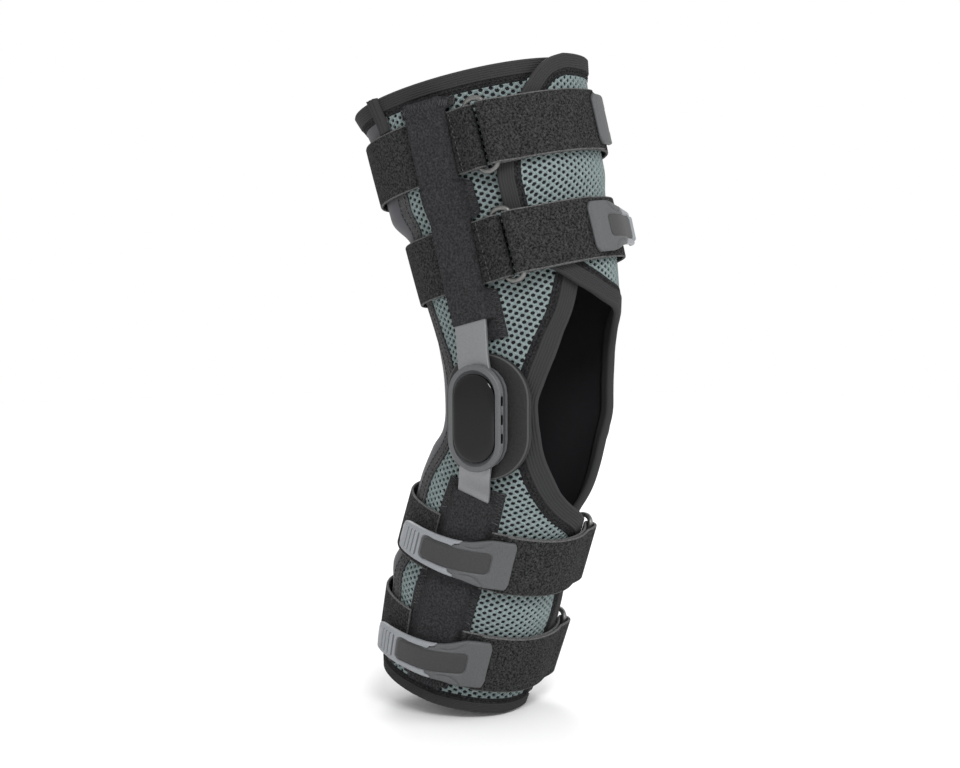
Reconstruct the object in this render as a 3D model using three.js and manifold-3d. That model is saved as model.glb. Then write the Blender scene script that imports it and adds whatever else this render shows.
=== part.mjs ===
// A hinged wraparound knee brace, in the form it has on a right leg that is bent a little.
// Millimetres, +Z up. The origin is the middle of the knee, between the two hinges.
// -X is the outer (lateral) side, +X the inner (medial) side and -Y the front.
import * as THREE from "three";
import { mergeVertices } from "three/addons/utils/BufferGeometryUtils.js";
import Module from "manifold-3d";

const wasm = await Module();
wasm.setup();
const { clamp, degToRad, lerp, smoothstep } = THREE.MathUtils;

// Sleeve: sizes along the limb are measured from the knee, upwards
const TOP = 208;
const FLAP_TOP = 209;
const BOTTOM = -198;
const WALL = 2.4;
const GAP = 0.3;
const TAPE = 0.7;
const SLIT = 0.75;
const BINDING_WIDTH = 11;
const EDGE_INSET = 2;
const SEAM_TAPE_WIDTH = 11;
const LAP = WALL + 2 * (TAPE + SLIT) + 3 * GAP;
const THIGH_RAMP = { from: 67, to: 17 };
const CALF_RAMP = { from: 66, to: 6 };
const FULL_TURN = 360;

// Limb axis: it leans back above and below the knee, in degrees
const THIGH_LEAN = 15.2;
const CALF_LEAN = 14;
const BEND_HALF = 40;

// Hinges, arms and pockets
const ARM_WIDTH = 22;
const ARM_THICK = 3;
const ARM_HEAD = 13.5;
const PIVOT_SPACING = 28;
const PIVOT_RADIUS = 4;
const HINGE_WIDTH = 37.5;
const HINGE_LENGTH = 66.5;
const PLATE_THICK = 2.5;
const COVER_THICK = 5;
const CAP_WIDTH = 30;
const CAP_LENGTH = 55;
const CAP_SINK = 1.2;
const CAP_THICK = 2.4;
const PAD_WIDTH = 60;
const PAD_LENGTH = 79;
const PAD_THICK = 4;
const POCKET_CLOTH = 0.9;
const POCKET_HALF = 13;
const FLANGE_WIDTH = 5.5;
const POCKET_LIFT = 3.1;
const POCKET_OVER_STRAP = 7.3;
const THIGH_POCKET = { from: 58, to: 195 };
const CALF_POCKET = { from: -46, to: -184 };
// How far forward the line of the arms runs, for each millimetre up the limb
const ARM_SLANT = 0.057;

// Straps, rings and tabs
const STRAP_WIDTH = 39;
const STRAP_THICK = 1.8;
const STRAP_LIFT = 4.9;
const WIRE = 1.7;
const RING_HALF = 5;
const RING_LENGTH = 45;
const STRAP_TAIL = 12;
const STRAP_SETTLE = 17;
const STRAP_ON_FLANGE = 16.5;
const TAB_LENGTH = 78;
const TAB_OVERLAP = 7;
const TAB_THICK = 2.6;

// The limb inside the sleeve: half-sizes of each section, and how far its middle is set back
const LIMB = [
  { along: -198, lateral: 42, medial: 42, front: 33.5, back: 54, set: 10 },
  { along: -180, lateral: 45, medial: 45, front: 35.5, back: 58, set: 10 },
  { along: -160, lateral: 46.8, medial: 46.8, front: 37, back: 59.3, set: 10 },
  { along: -140, lateral: 48, medial: 48, front: 39, back: 60.5, set: 10 },
  { along: -125, lateral: 49, medial: 49, front: 40.3, back: 63.5, set: 10 },
  { along: -110, lateral: 48, medial: 48, front: 39.5, back: 59, set: 9.5 },
  { along: -89, lateral: 47.5, medial: 47.5, front: 39, back: 58, set: 9 },
  { along: -64, lateral: 48.5, medial: 48.5, front: 42.5, back: 57.5, set: 8 },
  { along: -42, lateral: 49.5, medial: 49.5, front: 48.5, back: 55, set: 6 },
  { along: -20, lateral: 50.5, medial: 50.5, front: 52.5, back: 51.5, set: 3 },
  { along: 0, lateral: 51, medial: 51, front: 58, back: 53.5, set: 0 },
  { along: 39, lateral: 51, medial: 51, front: 62.5, back: 51.5, set: 0 },
  { along: 60, lateral: 52.5, medial: 53.5, front: 66, back: 50, set: 0 },
  { along: 80, lateral: 55, medial: 57, front: 67, back: 50.5, set: 0 },
  { along: 119, lateral: 57.5, medial: 60, front: 67, back: 51.5, set: 0 },
  { along: 137, lateral: 61.5, medial: 63, front: 70, back: 62.5, set: 0 },
  { along: 187, lateral: 65.5, medial: 66.5, front: 70.5, back: 63, set: 0 },
  { along: 208, lateral: 68, medial: 69.5, front: 73.5, back: 70, set: 0 },
];

// Edges of the sleeve in degrees from the front, rising towards the lateral side
const LATERAL_EDGE = [
  { along: -198, around: -17 },
  { along: -195, around: -20.5 },
  { along: -190, around: -22.5 },
  { along: -180, around: -23.5 },
  { along: -82, around: -24 },
  { along: -70, around: -22 },
  { along: -62, around: -14 },
  { along: -54, around: 1 },
  { along: -47, around: 15 },
  { along: -35, around: 32.5 },
  { along: -22, around: 46.5 },
  { along: -10, around: 54.5 },
  { along: -2, around: 58 },
  { along: 6, around: 59 },
  { along: 18, around: 54 },
  { along: 33, around: 44 },
  { along: 48, around: 34 },
  { along: 66, around: 25.5 },
  { along: 90, around: 15 },
  { along: 120, around: 8 },
  { along: 160, around: 4 },
  { along: 208, around: 2 },
];
const MEDIAL_EDGE = [
  { along: -198, around: 364 },
  { along: -80, around: 364 },
  { along: -66, around: 356 },
  { along: -54, around: 340 },
  { along: -35, around: 322 },
  { along: -10, around: 311 },
  { along: 8, around: 308 },
  { along: 25, around: 312 },
  { along: 36, around: 321 },
  { along: 43, around: 338 },
  { along: 48, around: 356 },
  { along: 53, around: 371 },
  { along: 60, around: 380.5 },
  { along: 66, around: 388 },
  { along: 77, around: 399 },
  { along: 84, around: 407.5 },
  { along: 93, around: 414 },
  { along: 104, around: 416.5 },
  { along: 134, around: 416.5 },
  { along: 149, around: 414.5 },
  { along: 165, around: 408 },
  { along: 180, around: 400 },
  { along: 190, around: 393.5 },
  { along: 201, around: 385 },
  { along: 206.5, around: 377 },
  { along: 209, around: 368 },
];
const SEAM = [
  { along: -198, around: 129 },
  { along: -123, around: 132 },
  { along: -60, around: 132 },
  { along: -35, around: 126 },
  { along: 0, around: 123 },
  { along: 40, around: 124 },
  { along: 60, around: 129 },
  { along: 85, around: 130 },
  { along: 135, around: 114 },
  { along: 208, around: 111 },
];

// Straps: where each lies, its ring and the end of its folded part. Its tab rises over the
// middle and at the tip, which may hang lower.
// A turn of 1 leads from the ring over the lateral side, and -1 over the medial side.
const STRAPS = [
  { name: "thigh_upper", along: 166, turn: 1, ring: 58.5, end: 352.5, rise: -3.5, tip: -3.5, slant: 0 },
  { name: "thigh_lower", along: 98.5, turn: 1, ring: 59, end: 371, rise: -1, tip: 8, slant: 0 },
  { name: "calf_upper", along: -91.5, turn: -1, ring: 45, end: 307.5, rise: 2.6, tip: -0.5, slant: -3 },
  { name: "calf_lower", along: -160, turn: -1, ring: 45, end: 307.5, rise: 3, tip: -0.5, slant: -7 },
];

// Even shares from 0 to 1
const steps = (count) => Array.from({ length: count + 1 }, (_, k) => k / count);

// One column of a table, on a curve through its rows that never overshoots them
function read(rows, name, along) {
  const last = rows.length - 1;
  let k = 0;
  while (k < last - 1 && along > rows[k + 1].along) {
    k += 1;
  }
  const steep = (i) => (rows[i + 1][name] - rows[i][name]) / (rows[i + 1].along - rows[i].along);
  const slope = (i) => {
    const before = steep(Math.max(i - 1, 0));
    const after = steep(Math.min(i, last - 1));
    return before * after > 0 ? (2 * before * after) / (before + after) : 0;
  };
  const span = rows[k + 1].along - rows[k].along;
  const t = clamp((along - rows[k].along) / span, 0, 1);
  const start = (1 + 2 * t) * (1 - t) ** 2 * rows[k][name] + t * (1 - t) ** 2 * span * slope(k);
  const end = (3 - 2 * t) * t ** 2 * rows[k + 1][name] - (1 - t) * t ** 2 * span * slope(k + 1);
  return start + end;
}

// The limb's axis: where it is and how far it leans
const MIDDLE_LEAN = degToRad((THIGH_LEAN - CALF_LEAN) / 2);
const LEAN_RATE = degToRad((THIGH_LEAN + CALF_LEAN) / 2) / BEND_HALF;
function axisAt(along) {
  const inside = clamp(along, -BEND_HALF, BEND_HALF);
  const lean = MIDDLE_LEAN + LEAN_RATE * inside;
  const y = (Math.cos(MIDDLE_LEAN) - Math.cos(lean)) / LEAN_RATE + (along - inside) * Math.sin(lean);
  const z = (Math.sin(lean) - Math.sin(MIDDLE_LEAN)) / LEAN_RATE + (along - inside) * Math.cos(lean);
  return { y, z, lean };
}

// A point of the limb's cross section: sideways and backwards from its axis
function inSection(along, sideways, backwards) {
  const { y, z, lean } = axisAt(along);
  return new THREE.Vector3(sideways, y + backwards * Math.cos(lean), z - backwards * Math.sin(lean));
}

// The surface of a section (x sideways, y backwards) and the way out of it
function sectionAt(along, around) {
  const angle = degToRad(around);
  const side = read(LIMB, Math.sin(angle) > 0 ? "lateral" : "medial", along);
  const deep = read(LIMB, Math.cos(angle) > 0 ? "front" : "back", along);
  const set = read(LIMB, "set", along);
  const spot = new THREE.Vector2(-side * Math.sin(angle), set - deep * Math.cos(angle));
  const out = new THREE.Vector2(-Math.sin(angle) / side, -Math.cos(angle) / deep).normalize();
  return { spot, out };
}

// A point above the limb's surface
function onLimb(along, around, lift) {
  const { spot, out } = sectionAt(along, around);
  spot.addScaledVector(out, lift);
  return inSection(along, spot.x, spot.y);
}

// The angle at which the line of the arms meets the limb's lateral surface
function armAngle(along) {
  const ahead = read(LIMB, "set", along) + ARM_SLANT * along;
  return THREE.MathUtils.radToDeg(Math.acos(ahead / read(LIMB, ahead > 0 ? "front" : "back", along)));
}

// Millimetres on the limb's surface for one degree around it
function degreeLength(along, around, lift = WALL) {
  return onLimb(along, around - 1, lift).distanceTo(onLimb(along, around + 1, lift)) / 2;
}

// Where one front edge of the sleeve lies over the other, its wall rises by the lap
function lapLift(along, around) {
  if (along > 0) {
    const edge = read(LATERAL_EDGE, "around", along) + FULL_TURN;
    return LAP * smoothstep(around, edge - THIGH_RAMP.from, edge - THIGH_RAMP.to);
  }
  const edge = read(MEDIAL_EDGE, "around", along) - FULL_TURN;
  return LAP * (1 - smoothstep(around, edge + CALF_RAMP.to, edge + CALF_RAMP.from));
}
function onSleeve(along, around, lift) {
  return onLimb(along, around, lift + lapLift(along, around));
}

// Turns a mesh's faces outward
function outward(geometry) {
  const { position } = geometry.attributes;
  const at = (k) => new THREE.Vector3().fromBufferAttribute(position, geometry.index.getX(k));
  let volume = 0;
  for (let k = 0; k < geometry.index.count; k += 3) {
    volume += at(k).dot(at(k + 1).cross(at(k + 2)));
  }
  if (volume < 0) {
    geometry.setIndex([...geometry.index.array].reverse());
  }
  return geometry;
}

// Joins equal outlines of points into one closed body, splitting each face the shorter way. Its
// two ends are closed by the given faces of an outline; without any, the last outline joins the
// first.
function loft(outlines, ends) {
  const size = outlines[0].length;
  const points = outlines.flat();
  const index = [];
  for (let k = 0; k < outlines.length - (ends ? 1 : 0); k += 1) {
    const here = k * size;
    const next = ((k + 1) % outlines.length) * size;
    for (let i = 0; i < size; i += 1) {
      const j = (i + 1) % size;
      const [a, b, c, d] = [here + i, here + j, next + j, next + i];
      const shorter = points[a].distanceTo(points[c]) <= points[b].distanceTo(points[d]);
      index.push(...(shorter ? [a, b, c, a, c, d] : [a, b, d, b, c, d]));
    }
  }
  const far = (outlines.length - 1) * size;
  for (const [a, b, c] of ends ?? []) {
    index.push(a, c, b, far + a, far + b, far + c);
  }
  const geometry = new THREE.BufferGeometry().setFromPoints(points);
  geometry.setIndex(index);
  return outward(geometry);
}

// Faces that fill a flat outline, all turned the way the outline runs
function filled(flat) {
  const turn = Math.sign(THREE.ShapeUtils.area(flat));
  return THREE.ShapeUtils.triangulateShape(flat, []).map((face) => {
    const same = Math.sign(THREE.ShapeUtils.area(face.map((i) => flat[i]))) === turn;
    return same ? face : [...face].reverse();
  });
}

// Faces that fill a strip, whose outline runs up one side and down the other
function strip(count) {
  const last = 2 * count - 1;
  return Array.from({ length: count - 1 }, (_, k) => [
    [k, k + 1, last - 1 - k],
    [k, last - 1 - k, last - k],
  ]).flat();
}

// A cloth wall over a grid: place(u, v, side) gives its outer (1) and inner (0) face
function wall(across, upwards, place) {
  const outer = upwards.map((v) => ({ v, side: 1 }));
  const inner = [...upwards].reverse().map((v) => ({ v, side: 0 }));
  const rim = [...outer, ...inner];
  const outlines = across.map((u) => rim.map(({ v, side }) => place(u, v, side)));
  return loft(outlines, strip(upwards.length));
}

// Spreads points evenly over a path of [around, along] pairs
function evenly(path, count) {
  const reach = [0];
  for (let k = 1; k < path.length; k += 1) {
    const [here, before] = [path[k], path[k - 1]].map(([around, along]) => onLimb(along, around, WALL));
    reach.push(reach[k - 1] + here.distanceTo(before));
  }
  const total = reach.at(-1);
  let k = 1;
  return steps(count).map((share) => {
    while (k < path.length - 1 && reach[k] < share * total) {
      k += 1;
    }
    const t = clamp((share * total - reach[k - 1]) / (reach[k] - reach[k - 1]), 0, 1);
    return [0, 1].map((i) => lerp(path[k - 1][i], path[k][i], t));
  });
}
const PATH_STEPS = 200;
function pathAlong(edge, from, to) {
  return steps(PATH_STEPS).map((t) => [edge(lerp(from, to, t)), lerp(from, to, t)]);
}

// A path with the way into the cloth at each point, in degrees and millimetres for each
// millimetre. The cloth lies to the left of the path where side is 1.
function withInner(points, side) {
  return points.map(([around, along], k) => {
    const before = points[Math.max(k - 1, 0)];
    const after = points[Math.min(k + 1, points.length - 1)];
    const degree = degreeLength(along, around);
    const way = new THREE.Vector2((after[0] - before[0]) * degree, after[1] - before[1]).normalize();
    return { around, along, inner: [(-way.y * side) / degree, way.x * side] };
  });
}

// Edges and seams of the three panels, all with the same number of points. The flap's front
// edge ends half way round its top corner.
const ROWS = 26;
const FLAP_CORNER = 201;
const lateralEdge = (along) => read(LATERAL_EDGE, "around", along);
const medialEdge = (along) => read(MEDIAL_EDGE, "around", along);
const lateralSeam = (along) => read(SEAM, "around", along);
const medialSeam = (along) => FULL_TURN - read(SEAM, "around", along);
const lateralFront = withInner(evenly(pathAlong(lateralEdge, BOTTOM, TOP), ROWS), -1);
const medialFront = withInner(evenly(pathAlong(medialEdge, BOTTOM, FLAP_CORNER), ROWS), 1);
const seamPath = (seam) => evenly(pathAlong(seam, BOTTOM + EDGE_INSET, TOP - EDGE_INSET), ROWS);
const lateralSeamPath = seamPath(lateralSeam);
const medialSeamPath = seamPath(medialSeam);

// A path inside a front edge. The ends of its rows go straight across the cloth.
function inset(front, reach, top) {
  return front.map(({ around, along, inner }, k) => {
    const side = Math.sign(inner[0]) / degreeLength(along, around);
    const [across, up] = k === 0 || k === ROWS ? [side, 0] : inner;
    return [around + across * reach, clamp(along + up * reach, BOTTOM + EDGE_INSET, top - EDGE_INSET)];
  });
}
const between = (from, to, share) => from.map((spot, k) => [0, 1].map((i) => lerp(spot[i], to[k][i], share)));
const beside = (path, degrees) => path.map(([around, along]) => [around + degrees, along]);

// The columns of each panel, from its lateral side to its medial side. At a front edge the cloth
// stops short of the fold in the binding, and its second column is just past the binding.
const SEAM_GAP = 0.2;
const PAST_BINDING = BINDING_WIDTH + 1;
const [lateralEnd, lateralIn] = [EDGE_INSET, PAST_BINDING].map((reach) => inset(lateralFront, reach, TOP));
const [medialEnd, medialIn] = [EDGE_INSET, PAST_BINDING].map((reach) => inset(medialFront, reach, FLAP_TOP));
const lateralRear = beside(lateralSeamPath, -SEAM_GAP);
const medialRear = beside(medialSeamPath, SEAM_GAP);
const [backFrom, backTo] = [beside(lateralSeamPath, SEAM_GAP), beside(medialSeamPath, -SEAM_GAP)];
const lateralColumns = [lateralEnd, ...steps(7).map((u) => between(lateralIn, lateralRear, u))];
const backColumns = steps(7).map((u) => between(backFrom, backTo, u));
const medialColumns = [...steps(11).map((u) => between(medialRear, medialIn, u)), medialEnd];

// The top row of the medial panel follows the flap's rounded corner
const cornerPath = pathAlong(medialEdge, FLAP_CORNER, FLAP_TOP);
function flapTop(around) {
  const start = medialEdge(FLAP_TOP);
  if (around < start) {
    return lerp(TOP, FLAP_TOP, (around - medialSeam(TOP)) / (start - medialSeam(TOP)));
  }
  return cornerPath.findLast(([edge]) => edge >= around)?.[1] ?? FLAP_CORNER;
}
medialColumns.forEach((column) => {
  column[ROWS][1] = flapTop(column[ROWS][0]) - EDGE_INSET;
});

// A panel over its columns of [around, along] pairs
function panel(columns) {
  const count = columns.length - 1;
  return wall(steps(count), steps(ROWS), (u, v, side) => {
    const [around, along] = columns[Math.round(u * count)][Math.round(v * ROWS)];
    return onSleeve(along, around, side * WALL);
  });
}

// A flat tape over a seam, between the top and bottom bindings
function seamTape(path) {
  const foot = BOTTOM + BINDING_WIDTH + 2 * GAP;
  const head = TOP - BINDING_WIDTH - 2 * GAP;
  const rows = path.map(([around, along]) => [around, clamp(along, foot, head)]);
  return wall(steps(1), steps(ROWS).slice(1, -1), (u, v, side) => {
    const [around, along] = rows[Math.round(v * ROWS)];
    const aside = ((u - 0.5) * SEAM_TAPE_WIDTH) / degreeLength(along, around);
    return onLimb(along, around + aside, WALL + SLIT + side * TAPE);
  });
}

// Binding tape folded over an edge. Its outline: inwards from the edge, and its lift
const BINDING_LIFT = WALL + SLIT + TAPE;
const BINDING_OUTLINE = [
  [BINDING_WIDTH, BINDING_LIFT],
  [TAPE, BINDING_LIFT],
  [0, WALL],
  [0, 0],
  [TAPE, WALL - BINDING_LIFT],
  [BINDING_WIDTH, WALL - BINDING_LIFT],
  [BINDING_WIDTH, -SLIT],
  [TAPE, -SLIT],
  [TAPE, WALL + SLIT],
  [BINDING_WIDTH, WALL + SLIT],
].map(([inwards, lift]) => new THREE.Vector2(inwards, lift));
function binding(points) {
  const outlines = points.map(({ around, along, inner }) => {
    return BINDING_OUTLINE.map(({ x, y }) => onSleeve(along + inner[1] * x, around + inner[0] * x, y));
  });
  return loft(outlines, filled(BINDING_OUTLINE));
}

// The ends of the panels' columns, taken out to the fold of the top and bottom bindings. The top
// binding meets the flap's binding at a joint on the medial side, and the front bindings stop
// short of the bindings they run into.
const TOP_JOINT = 262;
const JOINT_GAP = 2;
const allColumns = [...lateralColumns, ...backColumns.slice(1, -1), ...medialColumns];
const topRim = allColumns.map((column) => [column[ROWS][0], column[ROWS][1] + EDGE_INSET]);
const bottomRim = allColumns.slice(1).map((column) => [column[0][0], BOTTOM]);
const topBehind = [...topRim.filter(([around]) => around < TOP_JOINT), [TOP_JOINT, TOP]];
const flapStart = TOP_JOINT + JOINT_GAP;
const flapTopRim = [[flapStart, TOP], ...topRim.filter(([around]) => around > flapStart)];
const flapFront = medialFront.map(({ around, along }) => [around, along]).reverse();
const flapRim = withInner([...flapTopRim, ...flapFront], -1);
const bindings = {
  top_binding: binding(withInner(topBehind, -1)),
  medial_front_binding: binding(flapRim.filter(({ along }) => along > BOTTOM + PAST_BINDING)),
  lateral_front_binding: binding(lateralFront.filter(({ along }) => along < TOP - PAST_BINDING)),
  bottom_binding: binding(withInner(bottomRim, 1)),
};

// The folded end of the top binding
const FOLD_WIDTH = 8;
const FOLD_LENGTH = 22;
const FOLD_THICK = 2.4;
const seamFold = wall(steps(2), steps(3), (u, v, side) => {
  const along = TOP - (1 - v) * FOLD_LENGTH;
  const middle = lateralSeam(TOP);
  const around = middle + ((u - 0.5) * FOLD_WIDTH) / degreeLength(TOP, middle);
  const lift = BINDING_LIFT + 2 * GAP + side * FOLD_THICK;
  return onLimb(along, around, lift);
});

// Hinge side: -1 is lateral and 1 is medial
const sideName = (hand) => (hand < 0 ? "lateral" : "medial");
const KNEE_HALF = 51;
const PAD_IN = KNEE_HALF + BINDING_LIFT + GAP;
const PLATE_IN = PAD_IN + PAD_THICK + GAP;
const ARM_IN = PLATE_IN + PLATE_THICK + GAP;
const COVER_IN = ARM_IN + ARM_THICK + GAP;
const CAP_IN = COVER_IN + COVER_THICK - CAP_SINK;

// A flat shape drawn in the plane of the hinge (backwards, up) and given a thickness sideways
function slab(shape, hand, from, thick, bevel) {
  const geometry = new THREE.ExtrudeGeometry(shape, {
    depth: thick - 2 * bevel,
    bevelEnabled: bevel > 0,
    bevelSize: bevel,
    bevelOffset: -bevel,
    bevelThickness: bevel,
    bevelSegments: 1,
    curveSegments: 5,
  });
  return placed(geometry, (p) => new THREE.Vector3(hand * (from + bevel + p.z), p.x, p.y));
}

// Moves each point of a mesh, keeping only its closed surface
function placed(geometry, place) {
  geometry.deleteAttribute("normal");
  geometry.deleteAttribute("uv");
  const merged = mergeVertices(geometry, 1e-4);
  const spots = merged.attributes.position;
  for (let k = 0; k < spots.count; k += 1) {
    const spot = place(new THREE.Vector3().fromBufferAttribute(spots, k));
    spots.setXYZ(k, spot.x, spot.y, spot.z);
  }
  return outward(merged);
}

// An upright slot shape with round ends
function slot(width, length) {
  const radius = width / 2;
  const half = length / 2 - radius;
  const shape = new THREE.Shape();
  shape.absarc(0, half, radius, 0, Math.PI);
  shape.absarc(0, -half, radius, Math.PI, 2 * Math.PI);
  shape.closePath();
  return shape;
}
function disc(radius, height) {
  const shape = new THREE.Shape();
  shape.absarc(0, height, radius, 0, 2 * Math.PI);
  return shape;
}

// Joining and cutting
function body(geometry) {
  const vertProperties = new Float32Array(geometry.attributes.position.array);
  const triVerts = new Uint32Array(geometry.index.array);
  return new wasm.Manifold(new wasm.Mesh({ numProp: 3, vertProperties, triVerts }));
}
function fromBody(manifold) {
  const mesh = manifold.getMesh();
  const geometry = new THREE.BufferGeometry();
  geometry.setAttribute("position", new THREE.BufferAttribute(new Float32Array(mesh.vertProperties), 3));
  geometry.setIndex([...mesh.triVerts]);
  return geometry;
}

// A bar along the limb's side. Each row has its middle, the way out and the way across it.
function bar(rows, half, low, high) {
  const corners = [[-half, low], [half, low], [half, high], [-half, high]];
  const outlines = rows.map(({ along, spot, out }) => {
    const across = new THREE.Vector2(-out.y, out.x);
    return corners.map(([aside, deep]) => {
      const corner = spot.clone().addScaledVector(out, deep).addScaledVector(across, aside);
      return inSection(along, corner.x, corner.y);
    });
  });
  return loft(outlines, strip(2));
}

// The row of a bar or pocket that lies on the limb's side
function sideRow(hand, along) {
  return { along, ...sectionAt(along, -hand * armAngle(along)) };
}

// An arm: its head turns on a pivot in the hinge, and its far end is in the pocket. The pocket
// lies over straps or on the sleeve, and the arm inside it is as high.
const ARM_STEP = 20;
const JOG_FROM = 38;
const POCKET_END = 8;
const pocketFloor = (pocket) => (pocket.straps.length > 0 ? POCKET_OVER_STRAP : POCKET_LIFT);
const armLift = (pocket) => pocketFloor(pocket) + POCKET_CLOTH + GAP;
function inPocket(hand, pocket, from, to) {
  const count = Math.round(Math.abs(pocket.to - pocket.from) / ARM_STEP);
  const ways = steps(count).map((t) => lerp(pocket.from, pocket.to - Math.sign(pocket.to) * POCKET_END, t));
  return [from, ...ways.slice(1, -1), to].map((along) => sideRow(hand, along));
}
function arm(hand, pocket) {
  const upwards = Math.sign(pocket.to);
  const pivot = (upwards * PIVOT_SPACING) / 2;
  const lift = armLift(pocket);
  const inHinge = [pivot, upwards * JOG_FROM].map((along) => ({
    along,
    spot: new THREE.Vector2(hand * (ARM_IN - lift), 0),
    out: new THREE.Vector2(hand, 0),
  }));
  const rows = [...inHinge, ...inPocket(hand, pocket, pocket.from, pocket.to - upwards * POCKET_END)];
  const head = body(slab(disc(ARM_HEAD, pivot), hand, ARM_IN, ARM_THICK, 0));
  const hole = body(slab(disc(PIVOT_RADIUS + GAP, pivot), hand, ARM_IN - 1, ARM_THICK + 2, 0));
  const blade = body(bar(rows, ARM_WIDTH / 2, lift, lift + ARM_THICK));
  return fromBody(blade.add(head).subtract(hole));
}

function hingePlate(hand) {
  let plate = body(slab(slot(HINGE_WIDTH - 2, HINGE_LENGTH - 2), hand, PLATE_IN, PLATE_THICK, 0));
  for (const pivot of [-PIVOT_SPACING / 2, PIVOT_SPACING / 2]) {
    const pin = slab(disc(PIVOT_RADIUS, pivot), hand, PLATE_IN + 1, PLATE_THICK + ARM_THICK + GAP - 1, 0);
    plate = plate.add(body(pin));
  }
  return fromBody(plate);
}
function hingeCover(hand) {
  const cover = body(slab(slot(HINGE_WIDTH, HINGE_LENGTH), hand, COVER_IN, COVER_THICK, 1));
  const seat = slab(slot(CAP_WIDTH + 2 * GAP, CAP_LENGTH + 2 * GAP), hand, CAP_IN - GAP, CAP_SINK + 2, 0);
  return fromBody(cover.subtract(body(seat)));
}
const hingeCap = (hand) => slab(slot(CAP_WIDTH, CAP_LENGTH), hand, CAP_IN, CAP_THICK, 0.9);

// The pad follows the knee on its inner face and is flatter on its outer face
const PAD_CORNER = 28;
const PAD_FLATTER = 0.55;
function condylePad(hand) {
  const shape = new THREE.Shape();
  const [w, h] = [PAD_WIDTH / 2 - PAD_CORNER, PAD_LENGTH / 2 - PAD_CORNER];
  shape.absarc(w, h, PAD_CORNER, 0, Math.PI / 2);
  shape.absarc(-w, h, PAD_CORNER, Math.PI / 2, Math.PI);
  shape.absarc(-w, -h, PAD_CORNER, Math.PI, 1.5 * Math.PI);
  shape.absarc(w, -h, PAD_CORNER, 1.5 * Math.PI, 2 * Math.PI);
  const rings = [0, 0.55, 1];
  const rim = shape.getPoints(2).slice(0, -1);
  const drop = (p) => (PAD_FLATTER * p.x ** 2) / KNEE_HALF / 2;
  const face = (share, deep) => rim.map((p) => {
    const spot = p.clone().multiplyScalar(share);
    return new THREE.Vector3(hand * (PAD_IN + deep - drop(spot)), spot.x, spot.y);
  });
  const inner = rings.map((share) => face(Math.max(share, 0.02), 0));
  const outer = rings.map((share) => face(Math.max(share, 0.02), PAD_THICK)).reverse();
  return loft([...inner, ...outer], filled(rim));
}

// A pocket for an arm. Under it a strap passes where its cloth is raised; elsewhere its
// flanges lie on the sleeve.
const STRAP_CLEAR = STRAP_WIDTH / 2 + 1;
const RAISE_OVER = 1.5;
function pocketRows(pocket) {
  const low = Math.min(pocket.from, pocket.to);
  const high = Math.max(pocket.from, pocket.to);
  const marks = pocket.straps.flatMap(({ along }) => [
    { along: along - STRAP_CLEAR - RAISE_OVER, raised: 0 },
    { along: along - STRAP_CLEAR, raised: 1 },
    { along, raised: 1 },
    { along: along + STRAP_CLEAR, raised: 1 },
    { along: along + STRAP_CLEAR + RAISE_OVER, raised: 0 },
  ]).map((mark) => ({ ...mark, along: clamp(mark.along, low, high) }));
  const reach = STRAP_CLEAR + 2 * RAISE_OVER;
  const clear = (along) => pocket.straps.every((strap) => Math.abs(along - strap.along) > reach);
  const count = Math.round((high - low) / ARM_STEP);
  const plain = steps(count).map((t) => lerp(low, high, t)).filter(clear);
  return [...plain.map((along) => ({ along, raised: 0 })), ...marks].sort((a, b) => a.along - b.along);
}

// The pocket's outline: aside from its middle, and on the sleeve (0), a cloth higher (1) or
// over the arm (2)
const POCKET_FLANK = ARM_WIDTH / 2 + GAP + POCKET_CLOTH;
const POCKET_OUTLINE = [
  [-POCKET_HALF - FLANGE_WIDTH, 0],
  [-POCKET_HALF - FLANGE_WIDTH, 1],
  [-POCKET_HALF, 1],
  [-POCKET_FLANK, 2],
  [POCKET_FLANK, 2],
  [POCKET_HALF, 1],
  [POCKET_HALF + FLANGE_WIDTH, 1],
  [POCKET_HALF + FLANGE_WIDTH, 0],
  [POCKET_HALF, -0.1],
  [0, -0.2],
  [-POCKET_HALF, -0.1],
].map(([aside, layer]) => new THREE.Vector2(aside, layer));
function armPocket(hand, pocket) {
  const upwards = Math.sign(pocket.to);
  const lift = armLift(pocket);
  const outlines = pocketRows(pocket).map(({ along, raised }) => {
    const { spot, out } = sideRow(hand, along);
    const across = new THREE.Vector2(-out.y, out.x);
    const middle = -hand * armAngle(along);
    return POCKET_OUTLINE.map(({ x, y }) => {
      const reach = Math.sign(x) * Math.min(Math.abs(x), POCKET_HALF + FLANGE_WIDTH * (1 - raised) + GAP);
      const cloth = Math.max(y, 0) * POCKET_CLOTH;
      if (y < 2 && !raised) {
        return onLimb(along, middle - reach / degreeLength(along, middle), POCKET_LIFT + cloth);
      }
      const high = y === 2 ? lift + ARM_THICK + GAP + POCKET_CLOTH : POCKET_OVER_STRAP + cloth;
      const corner = spot.clone().addScaledVector(out, high).addScaledVector(across, reach);
      return inSection(along, corner.x, corner.y);
    });
  });
  const shell = body(loft(outlines, filled(POCKET_OUTLINE)));
  const rows = inPocket(hand, pocket, pocket.from - upwards * 4, pocket.to - upwards * (POCKET_END - 1));
  const hollow = bar(rows, ARM_WIDTH / 2 + GAP, lift - GAP, lift + ARM_THICK + GAP);
  return fromBody(shell.subtract(body(hollow)));
}

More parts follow.
